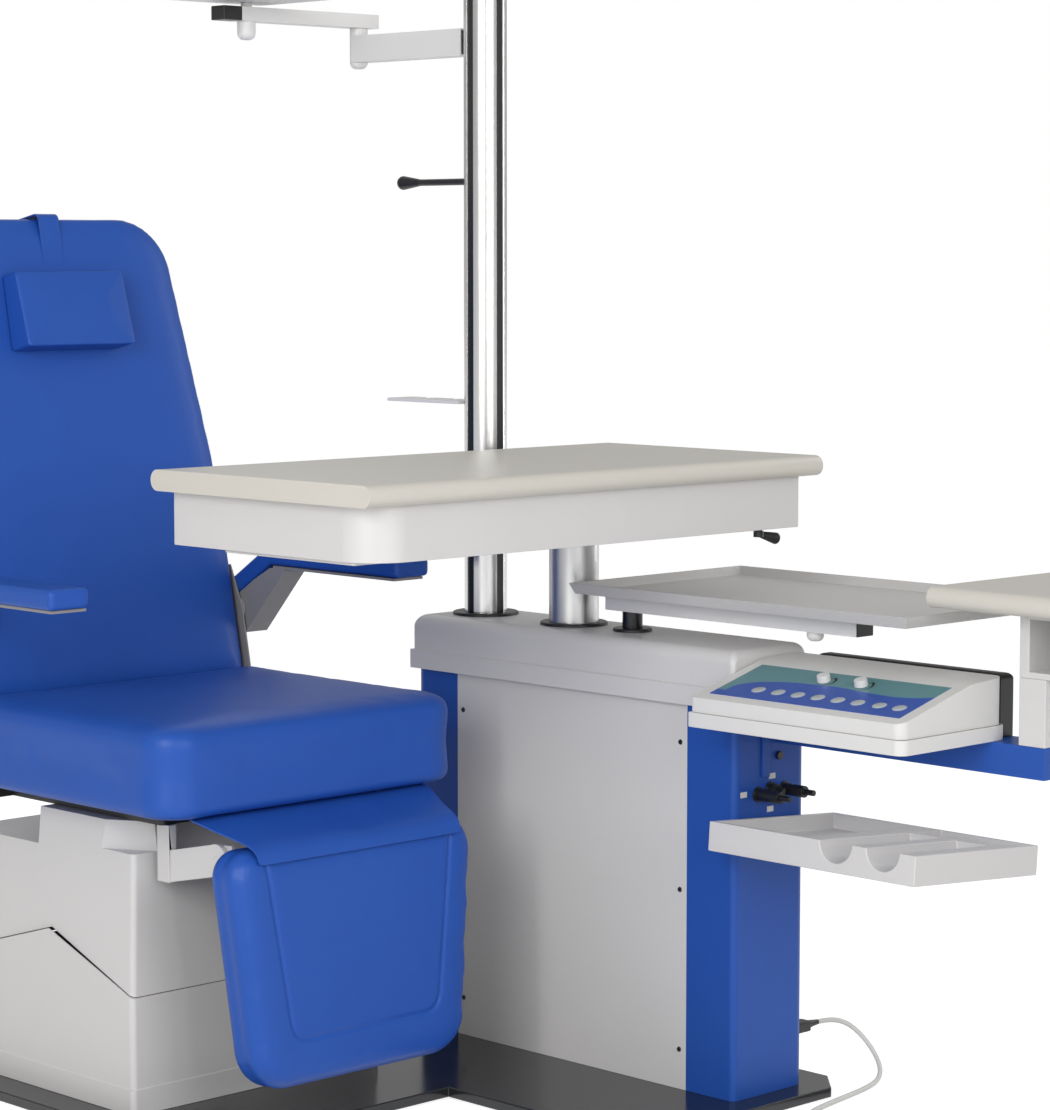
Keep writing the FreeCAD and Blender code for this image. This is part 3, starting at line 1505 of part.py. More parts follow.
def arc_from_tangent(start, tangent, end):
    """The arc that leaves start along the tangent and ends at end."""
    chord = end - start
    normal = tangent.cross(chord).cross(tangent).normalize()
    radius = chord.dot(chord) / (2 * chord.dot(normal))
    centre = start + normal * radius
    half = math.acos(max(-1, min(1, (start - centre).dot(end - centre) / radius ** 2))) / 2
    middle = centre + ((start - centre) * math.cos(half) + tangent * radius * math.sin(half))
    return Part.Arc(start, middle, end).toShape()


def make_mains_lead():
    x = cab_right
    half_w, half_h = inlet_width / 2, inlet_height / 2
    inlet = block(x, x + inlet_depth, inlet_y - half_w, inlet_y + half_w, inlet_z - half_h,
                  inlet_z + half_h)
    keep("mains_inlet", inlet)
    body_x = x + inlet_depth
    half_w, half_h = plug_width / 2, plug_height / 2
    body = block(body_x, body_x + plug_length, inlet_y - half_w, inlet_y + half_w,
                 inlet_z - half_h, inlet_z + half_h)
    body = fillet_where(body, lock_stem_radius / 2, lambda edge: edge.BoundBox.XLength > gap)
    relief = Part.makeCone(relief_radius, cord_diameter / 2 + bore_gap, relief_length,
                           Vector(body_x + plug_length, inlet_y, inlet_z), X_DIR)
    keep("mains_connector", body.fuse(relief).removeSplitter())

    edges, radii = arc_edges([Vector(*point) for point in cord_route])
    cord_wire = Part.Wire(edges)
    cord = pipe(cord_wire, cord_diameter / 2)
    report_tube("mains_cord", cord_wire, cord, min(radii))
    keep("mains_cord", cord)

    coil, end = coil_wire()
    turns = pipe(coil, cord_diameter / 2)
    report_tube("mains_coil", coil, turns, least_gap(coil))
    keep("mains_coil", turns)

    relief = Part.makeCone(cord_diameter / 2 + bore_gap, mains_relief_radius,
                           mains_relief_length, end, -Y_DIR)
    face = end - Y_DIR * mains_relief_length
    body = Part.makeCylinder(mains_plug_radius, mains_plug_length, face, -Y_DIR)
    body = fillet_where(body, mains_relief_radius, lies_at_y(face.y))
    face -= Y_DIR * mains_plug_length
    pins = [Part.makeCylinder(mains_pin_radius, mains_pin_length,
                              face + X_DIR * side * mains_pin_offset, -Y_DIR)
            for side in (-1, 1)]
    keep("mains_plug", relief.fuse([body] + pins).removeSplitter())


def report_tube(name, wire, solid, least):
    section = math.pi * (cord_diameter / 2) ** 2
    print("%s: length %.1f, volume share %.4f, least radius or gap %.2f" % (
        name, wire.Length, solid.Volume / (section * wire.Length), least))


def lies_at_y(y):
    return lambda edge: all(abs(v.Y - y) < gap for v in edge.Vertexes)


# The pillar's fittings, which stand on its rear slot

def make_pillar_fittings():
    face = pillar_y + pillar_radius
    half = holder_width / 2
    plate = rounded_block(stand_x - half, stand_x + half, face, face + holder_length,
                          holder_z, holder_z + holder_thick,
                          (gap, gap, holder_edge, holder_edge))
    for along, width in holder_slots:
        plate = plate.cut(block(stand_x + half - holder_slot_depth, stand_x + half + overrun,
                                face + along, face + along + width,
                                holder_z - overrun, holder_z + 2 * overrun))
    flange = block(stand_x - holder_flange_half, stand_x + holder_flange_half, face,
                   face + holder_thick, holder_z - holder_flange, holder_z)
    keep("accessory_holder", plate.fuse(flange).removeSplitter())

    strip_face = face - slot_depth + strip_thick
    shaft = rod(stand_x, strip_face + gap, lever_z, lever_radius,
                lever_length - slot_depth, Y_DIR)
    neck = lever_length - lever_knob_length
    knob = Part.makeCone(lever_radius + bore_gap * 2, lever_knob_radius, lever_knob_length,
                         Vector(stand_x, face + neck, lever_z), Y_DIR)
    knob = fillet_where(knob, lever_knob_radius * dome_share,
                        lambda edge: edge.BoundBox.YMin > face + lever_length - gap)
    keep("pillar_lever", shaft.fuse(knob).removeSplitter())

    plate = block(stand_x - arm_plate_half, stand_x + arm_plate_half, face,
                  face + arm_plate_thick, arm_plate_bottom, arm_plate_top)
    x0, x1 = stand_x - arm1_half_width, stand_x + arm1_half_width
    y0, y1 = face + arm_plate_thick, knuckle_y
    tube = box_tube(x0, x1, y0, y1, arm1_bottom, arm1_top, arm1_wall, "y")
    hub = rod(stand_x, knuckle_y, arm1_bottom, knuckle_radius, arm1_top - arm1_bottom)
    collar = rod(stand_x, knuckle_y, arm1_top, knuckle_radius, arm2_bottom - gap - arm1_top)
    pin = rod(stand_x, knuckle_y, arm1_top, post_spigot_radius,
              arm2_top - arm2_wall - gap - arm1_top)
    nut = dome_nut(stand_x, knuckle_y, arm1_bottom, knuckle_radius, knuckle_nut_height)
    fixed = plate.fuse([tube, hub, collar, pin])
    keep("upper_arm_fixed", fixed.removeSplitter(), nut)

    y0, y1 = knuckle_y - arm2_half_width, knuckle_y + arm2_half_width
    tube = box_tube(arm2_left + arm2_cap, arm2_right, y0, y1, arm2_bottom, arm2_top, arm2_wall,
                    "x")
    hub_radius_2 = arm2_half_width - arm2_wall / 2
    hub = rod(stand_x, knuckle_y, arm2_bottom, hub_radius_2, arm2_top - arm2_bottom)
    bore = rod(stand_x, knuckle_y, arm2_bottom - overrun, post_spigot_radius + bore_gap,
               arm2_top - arm2_wall - arm2_bottom + overrun)
    shelf_hub = rod(shelf_pivot_x, knuckle_y, arm2_bottom, hub_radius_2,
                    arm2_top - arm2_bottom)
    shelf_pin = rod(shelf_pivot_x, knuckle_y, arm2_top, post_spigot_radius,
                    shelf_bottom - gap - arm2_top)
    nut = dome_nut(shelf_pivot_x, knuckle_y, arm2_bottom, knuckle_radius, shelf_nut_height)
    cap = block(arm2_left, arm2_left + arm2_cap, y0, y1, arm2_bottom, arm2_top)
    swing = tube.fuse([hub, shelf_hub, shelf_pin]).cut(bore).removeSplitter()
    keep("upper_arm_swing", swing, nut)
    keep("upper_arm_end_cap", cap)

    board = rounded_block(shelf_left, shelf_right, shelf_front, shelf_rear, shelf_bottom,
                          shelf_bottom + shelf_thick, shelf_corner)
    keep("upper_shelf", board)


def write_parts():
    for name, solids in SOLIDS.items():
        shape = solids[0] if len(solids) == 1 else Part.makeCompound(solids)
        if not shape.isValid():
            print("not valid:", name)
        shape.exportStep("parts/%s.step" % name)
    print(len(SOLIDS), "nodes written")


make_floor_plate()
make_base_covers()
make_chair_lift()
make_seat_frame()
make_seat_cushion()
make_backrest()
make_backrest_frame()
make_strap_and_pillow()
make_armrests()
make_legrest()
make_apron()
make_cabinet()
make_cap()
make_columns()
make_table()
make_lens_tray()
make_beam()
make_console()
make_desk()
make_pen_tray()
make_sockets()
make_mains_lead()
make_pillar_fittings()
write_parts()
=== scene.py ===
"""Looks of an ophthalmic examination unit: chair, instrument stand, tables and console."""

import json
import math

import bmesh
import bpy
from bpy.props import FloatProperty, IntProperty, PointerProperty, StringProperty
from mathutils import Euler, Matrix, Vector

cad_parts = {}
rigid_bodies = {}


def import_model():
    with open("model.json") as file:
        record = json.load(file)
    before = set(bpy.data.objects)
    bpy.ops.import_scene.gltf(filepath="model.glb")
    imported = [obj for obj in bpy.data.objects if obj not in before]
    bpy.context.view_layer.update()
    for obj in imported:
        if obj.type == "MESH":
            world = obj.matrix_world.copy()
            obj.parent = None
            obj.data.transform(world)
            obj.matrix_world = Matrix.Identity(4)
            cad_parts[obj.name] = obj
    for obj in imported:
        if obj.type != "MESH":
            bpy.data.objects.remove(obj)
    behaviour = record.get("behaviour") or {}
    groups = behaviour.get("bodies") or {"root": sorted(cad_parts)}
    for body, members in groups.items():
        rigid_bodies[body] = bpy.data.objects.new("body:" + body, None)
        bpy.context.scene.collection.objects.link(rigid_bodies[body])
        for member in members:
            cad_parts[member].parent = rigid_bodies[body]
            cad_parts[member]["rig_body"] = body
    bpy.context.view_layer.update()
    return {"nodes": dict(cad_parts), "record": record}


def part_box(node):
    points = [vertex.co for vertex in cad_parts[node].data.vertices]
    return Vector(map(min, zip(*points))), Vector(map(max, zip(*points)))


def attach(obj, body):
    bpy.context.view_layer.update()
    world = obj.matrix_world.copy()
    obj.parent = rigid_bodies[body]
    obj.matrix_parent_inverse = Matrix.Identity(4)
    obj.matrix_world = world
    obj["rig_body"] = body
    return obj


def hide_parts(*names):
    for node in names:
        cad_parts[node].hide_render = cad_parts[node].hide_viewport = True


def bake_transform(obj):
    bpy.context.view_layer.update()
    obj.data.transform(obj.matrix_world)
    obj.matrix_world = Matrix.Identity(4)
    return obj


bl_info = {
    "name": "Ophthalmic Examination Unit",
    "version": (1, 0, 0),
    "blender": (4, 5, 0),
    "location": "View3D > Sidebar > Exam Unit",
    "description": "Dresses the frame of an examination chair and its instrument stand",
    "category": "Object",
}

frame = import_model()

MM = 0.001
FULL_TURN = 2 * math.pi


# Colour and nodes

def linear(code):
    """An sRGB hex colour as linear RGBA."""
    values = [int(code[i:i + 2], 16) / 255 for i in (1, 3, 5)]
    curve = [v / 12.92 if v <= 0.04045 else ((v + 0.055) / 1.055) ** 2.4 for v in values]
    return (*curve, 1.0)


def add(tree, kind, inputs=None, **settings):
    """Add a node to a tree, with its settings, values and links."""
    node = tree.nodes.new(kind)
    for name, value in settings.items():
        setattr(node, name, value)
    for key, value in (inputs or {}).items():
        if isinstance(value, bpy.types.NodeSocket):
            tree.links.new(value, node.inputs[key])
        else:
            node.inputs[key].default_value = value
    return node


def new_material(name, **values):
    """A material, its node tree and its shader with the values set."""
    material = bpy.data.materials.new(name)
    material.use_nodes = True
    tree = material.node_tree
    shader = tree.nodes["Principled BSDF"]
    for key, value in values.items():
        shader.inputs[key.replace("_", " ")].default_value = value
    return material, tree, shader


def mottled(tree, shader, colour, spread, patch_mm, roughness, rough_spread):
    """Vary the colour and roughness a little in soft patches."""
    place = add(tree, "ShaderNodeTexCoord").outputs["Object"]
    noise = add(tree, "ShaderNodeTexNoise",
                {"Vector": place, "Scale": 1 / (patch_mm * MM), "Detail": 3.0})
    dark = tuple(c * (1 - spread) for c in colour[:3]) + (1.0,)
    light = tuple(min(1.0, c * (1 + spread)) for c in colour[:3]) + (1.0,)
    mix = add(tree, "ShaderNodeMix", {"Factor": noise.outputs["Fac"], "A": dark, "B": light},
              data_type="RGBA")
    tree.links.new(mix.outputs["Result"], shader.inputs["Base Color"])
    rough = add(tree, "ShaderNodeMapRange",
                {"Value": noise.outputs["Fac"], "To Min": roughness - rough_spread,
                 "To Max": roughness + rough_spread})
    tree.links.new(rough.outputs["Result"], shader.inputs["Roughness"])
    return place


def bumped(tree, shader, height, depth_mm, strength):
    """Give the surface the relief of a height."""
    bump = add(tree, "ShaderNodeBump",
               {"Height": height, "Distance": depth_mm * MM, "Strength": strength})
    tree.links.new(bump.outputs["Normal"], shader.inputs["Normal"])


# Materials

def upholstery_vinyl(name, code, grain_mm):
    """Calendered vinyl over foam: a fine leather grain, soft broad highlights."""
    material, tree, shader = new_material(
        name, Specular_IOR_Level=0.24, Coat_Weight=0.06, Coat_Roughness=0.24)
    place = mottled(tree, shader, linear(code), spread=0.05, patch_mm=90, roughness=0.44,
                    rough_spread=0.04)
    cells = add(tree, "ShaderNodeTexVoronoi",
                {"Vector": place, "Scale": 1 / (grain_mm * MM)}, feature="SMOOTH_F1")
    fine = add(tree, "ShaderNodeTexNoise",
               {"Vector": place, "Scale": 2.5 / (grain_mm * MM), "Detail": 2.0})
    both = add(tree, "ShaderNodeMath", {0: cells.outputs["Distance"], 1: fine.outputs["Fac"]},
               operation="MULTIPLY")
    bumped(tree, shader, both.outputs["Value"], depth_mm=0.25, strength=0.45)
    return material


def moulded(name, code, roughness, grain_mm=1.4, depth_mm=0.05):
    """Injection moulded or vacuum formed plastic: an even colour with a fine spark grain."""
    material, tree, shader = new_material(name)
    place = mottled(tree, shader, linear(code), spread=0.02, patch_mm=120,
                    roughness=roughness, rough_spread=0.04)
    grain = add(tree, "ShaderNodeTexNoise",
                {"Vector": place, "Scale": 1 / (grain_mm * MM), "Detail": 2.0})
    bumped(tree, shader, grain.outputs["Fac"], depth_mm, strength=0.3)
    return material


def enamel(name, code, roughness, peel_mm=6.0, **values):
    """Powder or stove enamel on sheet metal: slight orange peel under an even gloss."""
    material, tree, shader = new_material(name, **values)
    place = mottled(tree, shader, linear(code), spread=0.025, patch_mm=160,
                    roughness=roughness, rough_spread=0.03)
    peel = add(tree, "ShaderNodeTexNoise",
               {"Vector": place, "Scale": 1 / (peel_mm * MM), "Detail": 1.0})
    bumped(tree, shader, peel.outputs["Fac"], depth_mm=0.08, strength=0.25)
    return material


STREAK_MM = 1.2
STREAK_SQUEEZE = 0.01  # of the height, so that a streak is a hundred times longer than wide


def drawn_metal(name, code, roughness):
    """Anodised or brushed tube: fine streaks that run up the column."""
    material, tree, shader = new_material(name, Metallic=1.0)
    place = add(tree, "ShaderNodeTexCoord").outputs["Object"]
    flat = add(tree, "ShaderNodeMapping", {"Vector": place, "Scale": (1.0, 1.0, STREAK_SQUEEZE)})
    streak = add(tree, "ShaderNodeTexNoise",
                 {"Vector": flat.outputs["Vector"], "Scale": 1 / (STREAK_MM * MM),
                  "Detail": 2.0})
    base = linear(code)
    dark = tuple(c * 0.93 for c in base[:3]) + (1.0,)
    mix = add(tree, "ShaderNodeMix",
              {"Factor": streak.outputs["Fac"], "A": dark, "B": base}, data_type="RGBA")
    rough = add(tree, "ShaderNodeMapRange",
                {"Value": streak.outputs["Fac"], "To Min": roughness * 0.8,
                 "To Max": roughness * 1.2})
    tree.links.new(mix.outputs["Result"], shader.inputs["Base Color"])
    tree.links.new(rough.outputs["Result"], shader.inputs["Roughness"])
    bumped(tree, shader, streak.outputs["Fac"], depth_mm=0.02, strength=0.3)
    return material


def printed_film(name):
    """Polyester film printed on its back: flat colours with a crisp edge under a satin face.

    A wavy line parts the blue from the teal above it. The upper rim is a thin white line.
    """
    material, tree, shader = new_material(name, Specular_IOR_Level=0.4)
    place = mottled(tree, shader, linear("#2B51A8"), spread=0.02, patch_mm=60,
                    roughness=0.34, rough_spread=0.03)
    flat = shader.inputs["Base Color"].links[0].from_socket
    along = add(tree, "ShaderNodeMapRange",
                {"Value": add(tree, "ShaderNodeSeparateXYZ", {0: place}).outputs["Y"],
                 "From Min": WAVE_MM[0][0] * MM, "From Max": WAVE_MM[-1][0] * MM})
    wave = add(tree, "ShaderNodeFloatCurve", {"Value": along.outputs["Result"]})
    line = wave.mapping.curves[0]
    span = WAVE_MM[-1][0] - WAVE_MM[0][0]
    for y, up in WAVE_MM[1:-1]:
        line.points.new((y - WAVE_MM[0][0]) / span, up / WAVE_TOP_MM)
    line.points[0].location = (0.0, WAVE_MM[0][1] / WAVE_TOP_MM)
    line.points[-1].location = (1.0, WAVE_MM[-1][1] / WAVE_TOP_MM)
    wave.mapping.update()
    foot = add(tree, "ShaderNodeVectorMath", {0: place, 1: on_slope(0, 0)},
               operation="SUBTRACT")
    up = add(tree, "ShaderNodeVectorMath",
             {0: foot.outputs["Vector"], 1: (math.cos(SLOPE), 0, math.sin(SLOPE))},
             operation="DOT_PRODUCT")
    edge = add(tree, "ShaderNodeMath", {0: wave.outputs["Value"], 1: WAVE_TOP_MM * MM},
               operation="MULTIPLY")
    above = add(tree, "ShaderNodeMath", {0: up.outputs["Value"], 1: edge.outputs["Value"]},
                operation="GREATER_THAN")
    teal = add(tree, "ShaderNodeMix", {"Factor": above.outputs["Value"], "A": flat,
                                       "B": linear("#5A8A90")}, data_type="RGBA")
    rim = add(tree, "ShaderNodeMath", {0: up.outputs["Value"], 1: RIM_LINE_MM * MM},
              operation="GREATER_THAN")
    lined = add(tree, "ShaderNodeMix", {"Factor": rim.outputs["Value"],
                                        "A": teal.outputs["Result"],
                                        "B": linear("#D6D6D4")}, data_type="RGBA")
    tree.links.new(lined.outputs["Result"], shader.inputs["Base Color"])
    return material


# The console's sloped face, in millimetres: y along it and up from its front lip

SLOPE = math.atan2(42, 154)
SLOPE_FOOT_X_MM = 346
SLOPE_FOOT_Z_MM = 643
RIM_LINE_MM = 143.6
WAVE_TOP_MM = 150.0
WAVE_MM = [(-1169, 106), (-1113, 90), (-1077, 90), (-1036, 94), (-996, 98), (-940, 97),
           (-887, 91), (-834, 70), (-823, 42)]


def on_slope(y, up, out=0.0):
    """A place on the sloped face, or out of it, in metres."""
    return Vector((SLOPE_FOOT_X_MM + up * math.cos(SLOPE) - out * math.sin(SLOPE), y,
                   SLOPE_FOOT_Z_MM + up * math.sin(SLOPE) + out * math.cos(SLOPE))) * MM


# Meshes

def link(obj):
    bpy.context.scene.collection.objects.link(obj)
    return obj


def mesh_object(name, bm):
    mesh = bpy.data.meshes.new(name)
    bm.to_mesh(mesh)
    bm.free()
    return link(bpy.data.objects.new(name, mesh))


def welded_copy(node, name):
    """A copy of a node's mesh whose loose triangles are joined."""
    bm = bmesh.new()
    bm.from_mesh(frame["nodes"][node].data)
    bmesh.ops.remove_doubles(bm, verts=bm.verts, dist=0.01 * MM)
    obj = mesh_object(name, bm)
    obj.data.materials.clear()
    return obj


def settle(obj):
    """Apply an object's modifiers to its mesh."""
    graph = bpy.context.evaluated_depsgraph_get()
    mesh = bpy.data.meshes.new_from_object(obj.evaluated_get(graph))
    old = obj.data
    obj.modifiers.clear()
    obj.data = mesh
    bpy.data.meshes.remove(old)
    return obj


def smooth_by_angle(obj, degrees=35):
    """Smooth the shading over edges that turn by less than an angle."""
    for face in obj.data.polygons:
        face.use_smooth = True
    obj.data.set_sharp_from_angle(angle=math.radians(degrees))


def modifier(obj, kind, **settings):
    added = obj.modifiers.new(kind.title(), kind)
    for name, value in settings.items():
        setattr(added, name, value)
    return added


def even_faces(obj):
    """Smooth the shading over rounded edges and keep large faces even."""
    smooth_by_angle(obj, CREASE_DEGREES)
    modifier(obj, "WEIGHTED_NORMAL", keep_sharp=True, weight=80)
    settle(obj)


def dressed(obj, body, material, slot, *nodes):
    """Give a finished piece its material and its body, and hide the nodes that it stands for."""
    obj.data.materials.clear()
    obj.data.materials.append(material)
    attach(obj, body)
    if nodes:
        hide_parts(*nodes)
    return obj


def slot_of(node):
    return next(part["material_slot"] for part in frame["record"]["subparts"]
                if part["node"] == node)


FLAT_DEGREES = 1.0    # faces this near to one plane become one face
BEVEL_DEGREES = 30    # sharper edges than this are rounded
CREASE_DEGREES = 38   # sharper edges than this stay sharp in the shading


def softened(node, radius_mm, material):
    """A node's own shape with small rounded edges and smooth round faces."""
    obj = welded_copy(node, node + "_dressed")
    bm = bmesh.new()
    bm.from_mesh(obj.data)
    bmesh.ops.dissolve_limit(bm, angle_limit=math.radians(FLAT_DEGREES), verts=bm.verts,
                             edges=bm.edges)
    bm.to_mesh(obj.data)
    bm.free()
    if radius_mm:
        modifier(obj, "BEVEL", width=radius_mm * MM, segments=2,
                 limit_method="ANGLE", angle_limit=math.radians(BEVEL_DEGREES),
                 use_clamp_overlap=True, harden_normals=False)
        settle(obj)
    even_faces(obj)
    return dressed(obj, frame["nodes"][node]["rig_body"], material, slot_of(node), node)


def soften_all(*rows):
    """Soften nodes, given as rows of a node, its edges' radius and its material."""
    for node, radius_mm, material in rows:
        softened(node, radius_mm, material())


CLOTH_STEPS = 20


def puffed(obj, voxel_mm, pressure, cap_mm, rounds):
    """Swell a closed form like a stuffed cover and keep it within a cap of its shape.

    A cap of nothing leaves out the swelling, for a cover glued on a firm block of foam.
    """
    modifier(obj, "REMESH", mode="VOXEL", voxel_size=voxel_mm * MM)
    modifier(obj, "SMOOTH", factor=0.5, iterations=rounds)
    settle(obj)
    if cap_mm:
        rest = [vertex.co.copy() for vertex in obj.data.vertices]
        outward = [vertex.normal.copy() for vertex in obj.data.vertices]
        for vertex, normal in zip(obj.data.vertices, outward):
            vertex.co -= normal * cap_mm * MM
        cloth = modifier(obj, "CLOTH")
        cloth.settings.use_pressure = True
        cloth.settings.uniform_pressure_force = pressure
        cloth.settings.effector_weights.gravity = 0.0
        cloth.settings.quality = 5
        cloth.collision_settings.use_collision = False
        scene = bpy.context.scene
        for step in range(1, CLOTH_STEPS + 1):
            scene.frame_set(step)
        graph = bpy.context.evaluated_depsgraph_get()
        moved = [vertex.co.copy() for vertex in obj.evaluated_get(graph).data.vertices]
        obj.modifiers.clear()
        scene.frame_set(1)
        for vertex, start, end in zip(obj.data.vertices, rest, moved):
            shift = end - start
            if shift.length > cap_mm * MM:
                shift *= cap_mm * MM / shift.length
            vertex.co = start + shift
    modifier(obj, "SMOOTH", factor=0.5, iterations=2)
    modifier(obj, "SUBSURF", levels=1, render_levels=1)
    settle(obj)
    smooth_by_angle(obj, 180)
    return obj


def sewn(obj, to_plane, line_mm, least_out_mm, depth_mm, half_mm):
    """Press a sewn line into the face of a pad, along a line in that face's plane."""
    runs = [(Vector(a), Vector(b) - Vector(a)) for a, b in zip(line_mm, line_mm[1:])]
    normals = [vertex.normal.copy() for vertex in obj.data.vertices]
    for vertex, normal in zip(obj.data.vertices, normals):
        across, up, out = to_plane(vertex.co / MM)
        if out < least_out_mm:
            continue
        spot = Vector((across, up))
        gap = min((spot - a - run * min(1, max(0, (spot - a).dot(run) / run.length_squared)))
                  .length for a, run in runs)
        vertex.co -= normal * depth_mm * MM * math.exp(-(gap / half_mm) ** 2)


def repeated(name, places_mm, turn, sizes_mm, shape, material):
    """Copies of one small shape, which shape() builds from the named sizes, on places."""
    tree = bpy.data.node_groups.new(name, "GeometryNodeTree")
    tree.interface.new_socket("Places", in_out="INPUT", socket_type="NodeSocketGeometry")
    identifiers = {}
    for label, size in sizes_mm.items():
        socket = tree.interface.new_socket(label, in_out="INPUT",
                                           socket_type="NodeSocketFloat")
        socket.subtype = "DISTANCE"
        socket.default_value = size * MM
        identifiers[label] = socket.identifier
    tree.interface.new_socket("Geometry", in_out="OUTPUT",
                              socket_type="NodeSocketGeometry")
    start = add(tree, "NodeGroupInput")
    spread = add(tree, "GeometryNodeInstanceOnPoints",
                 {"Points": start.outputs["Places"], "Instance": shape(tree, start.outputs),
                  "Rotation": turn})
    real = add(tree, "GeometryNodeRealizeInstances",
               {"Geometry": spread.outputs["Instances"]})
    painted = add(tree, "GeometryNodeSetMaterial",
                  {"Geometry": real.outputs["Geometry"], "Material": material})
    add(tree, "NodeGroupOutput", {"Geometry": painted.outputs["Geometry"]})
    bm = bmesh.new()
    for place in places_mm:
        bm.verts.new(Vector(place) * MM)
    piece = mesh_object(name, bm)
    nodes = modifier(piece, "NODES", node_group=tree)
    for label, size in sizes_mm.items():
        nodes[identifiers[label]] = size * MM
    settle(piece)
    smooth_by_angle(piece)
    return piece


def scaled(tree, value, share):
    """A share of a value."""
    return add(tree, "ShaderNodeMath", {0: value, 1: share},
               operation="MULTIPLY").outputs["Value"]


HEAD_TOP_SHARE = 0.78    # of the head's radius, as the next two
RECESS_LONG_SHARE = 1.1
RECESS_WIDE_SHARE = 0.26


def crossed_head(tree, sizes):
    """A low screw head with a crossed recess."""
    radius, height = sizes["Head radius"], sizes["Head height"]
    head = add(tree, "GeometryNodeMeshCone",
               {"Vertices": 24, "Radius Bottom": radius,
                "Radius Top": scaled(tree, radius, HEAD_TOP_SHARE), "Depth": height})
    bars = add(tree, "GeometryNodeJoinGeometry")
    long = scaled(tree, radius, RECESS_LONG_SHARE)
    wide = scaled(tree, radius, RECESS_WIDE_SHARE)
    for x, y in ((long, wide), (wide, long)):
        size = add(tree, "ShaderNodeCombineXYZ", {"X": x, "Y": y, "Z": height})
        bar = add(tree, "GeometryNodeMeshCube", {"Size": size.outputs["Vector"]})
        tree.links.new(bar.outputs["Mesh"], bars.inputs["Geometry"])
    lift = add(tree, "ShaderNodeCombineXYZ", {"Z": height})
    recess = add(tree, "GeometryNodeTransform",
                 {"Geometry": bars.outputs["Geometry"], "Translation": lift.outputs["Vector"]})
    cut = add(tree, "GeometryNodeMeshBoolean", {"Self Intersection": True},
              operation="DIFFERENCE", solver="EXACT")
    tree.links.new(head.outputs["Mesh"], cut.inputs["Mesh 1"])
    tree.links.new(recess.outputs["Geometry"], cut.inputs["Mesh 2"])
    return cut.outputs["Mesh"]


def domed_key(tree, sizes):
    """A key pressed up into the film, with a sloped rim."""
    disc = add(tree, "GeometryNodeMeshCone",
               {"Vertices": 32, "Radius Bottom": 0.5, "Radius Top": 0.45, "Depth": 1.0})
    size = add(tree, "ShaderNodeCombineXYZ",
               {"X": sizes["Width"], "Y": sizes["Length"], "Z": sizes["Height"]})
    return add(tree, "GeometryNodeTransform",
               {"Geometry": disc.outputs["Mesh"],
                "Scale": size.outputs["Vector"]}).outputs["Geometry"]


def small_plate(tree, sizes):
    """A thin bare plate that stands on its back."""
    size = add(tree, "ShaderNodeCombineXYZ",
               {"X": sizes["Width"], "Y": sizes["Thickness"], "Z": sizes["Height"]})
    return add(tree, "GeometryNodeMeshCube",
               {"Size": size.outputs["Vector"]}).outputs["Mesh"]


# Settings

class FinishSettings(bpy.types.PropertyGroup):
    """Colours and grain of the unit's finishes."""

    vinyl_hex: StringProperty(
        name="Vinyl", description="Colour of the upholstery, as sRGB hex", default="#2351A8")
    moulding_hex: StringProperty(
        name="Moulding", description="Colour of the light covers, as sRGB hex",
        default="#CFCDCC")
    top_hex: StringProperty(
        name="Table top", description="Colour of the table tops, as sRGB hex",
        default="#CBC7BE")
    panel_hex: StringProperty(
        name="Blue panel", description="Colour of the blue covers, as sRGB hex",
        default="#2450A4")
    screw_radius_mm: FloatProperty(
        name="Screw head", description="Radius of a screw head in millimetres", default=4.2,
        min=1.0)
    grain_mm: FloatProperty(
        name="Grain", description="Size of the vinyl's grain in millimetres", default=1.6,
        min=0.5)


class CushionSettings(bpy.types.PropertyGroup):
    """How the cushions are filled."""

    voxel_mm: FloatProperty(
        name="Mesh size", description="Length of a mesh edge in millimetres", default=6.5,
        min=3.0)
    pressure: FloatProperty(
        name="Pressure", description="Pressure of the filling", default=4.0, min=0.0)
    cap_mm: FloatProperty(
        name="Cap", description="How far the cover may move in millimetres", default=2.5,
        min=0.0)


class LeadSettings(bpy.types.PropertyGroup):
    """The mains lead."""

    diameter: FloatProperty(
        name="Diameter", description="Outer diameter of the lead", default=8 * MM,
        subtype="DISTANCE", unit="LENGTH")
    half_turns: IntProperty(
        name="Half turns", description="Half turns in the coil", default=14, min=2)
    mean_radius: FloatProperty(
        name="Coil radius", description="Radius at the middle of the turns",
        default=46 * MM, subtype="DISTANCE", unit="LENGTH")
    pitch: FloatProperty(
        name="Pitch", description="From one turn to the next", default=9.4 * MM,
        subtype="DISTANCE", unit="LENGTH")
    lift: FloatProperty(
        name="Layer height", description="From one layer to the next", default=10 * MM,
        subtype="DISTANCE", unit="LENGTH")


def finishes():
    return bpy.context.scene.exam_finishes


def made(build, name, *values, **settings):
    """A material that is built the first time it is asked for."""
    return bpy.data.materials.get(name) or build(name, *values, **settings)


def vinyl():
    """Blue calendered vinyl of the cushions: leather grain and soft broad highlights."""
    return made(upholstery_vinyl, "Calendered Vinyl", finishes().vinyl_hex,
                finishes().grain_mm)


def light_moulding():
    """Pale grey ABS of base covers, cap, skirt, desk and instrument tray: an even satin."""
    return made(moulded, "Light ABS Moulding", finishes().moulding_hex, 0.38)


def white_moulding():
    """White ABS of the console and its knobs: brighter and a little glossier than the grey."""
    return made(moulded, "White ABS", "#D8D7D5", 0.32)


def black_moulding():
    """Black nylon of plugs, sockets, collars, strips, screws, levers and caps: a dull sheen."""
    return made(moulded, "Black Nylon", "#18181A", 0.38)


def key_print():
    """Embossed keys of the film: pale grey print that catches light on its domes."""
    return made(moulded, "Embossed Key Print", "#AEB4B8", 0.3)


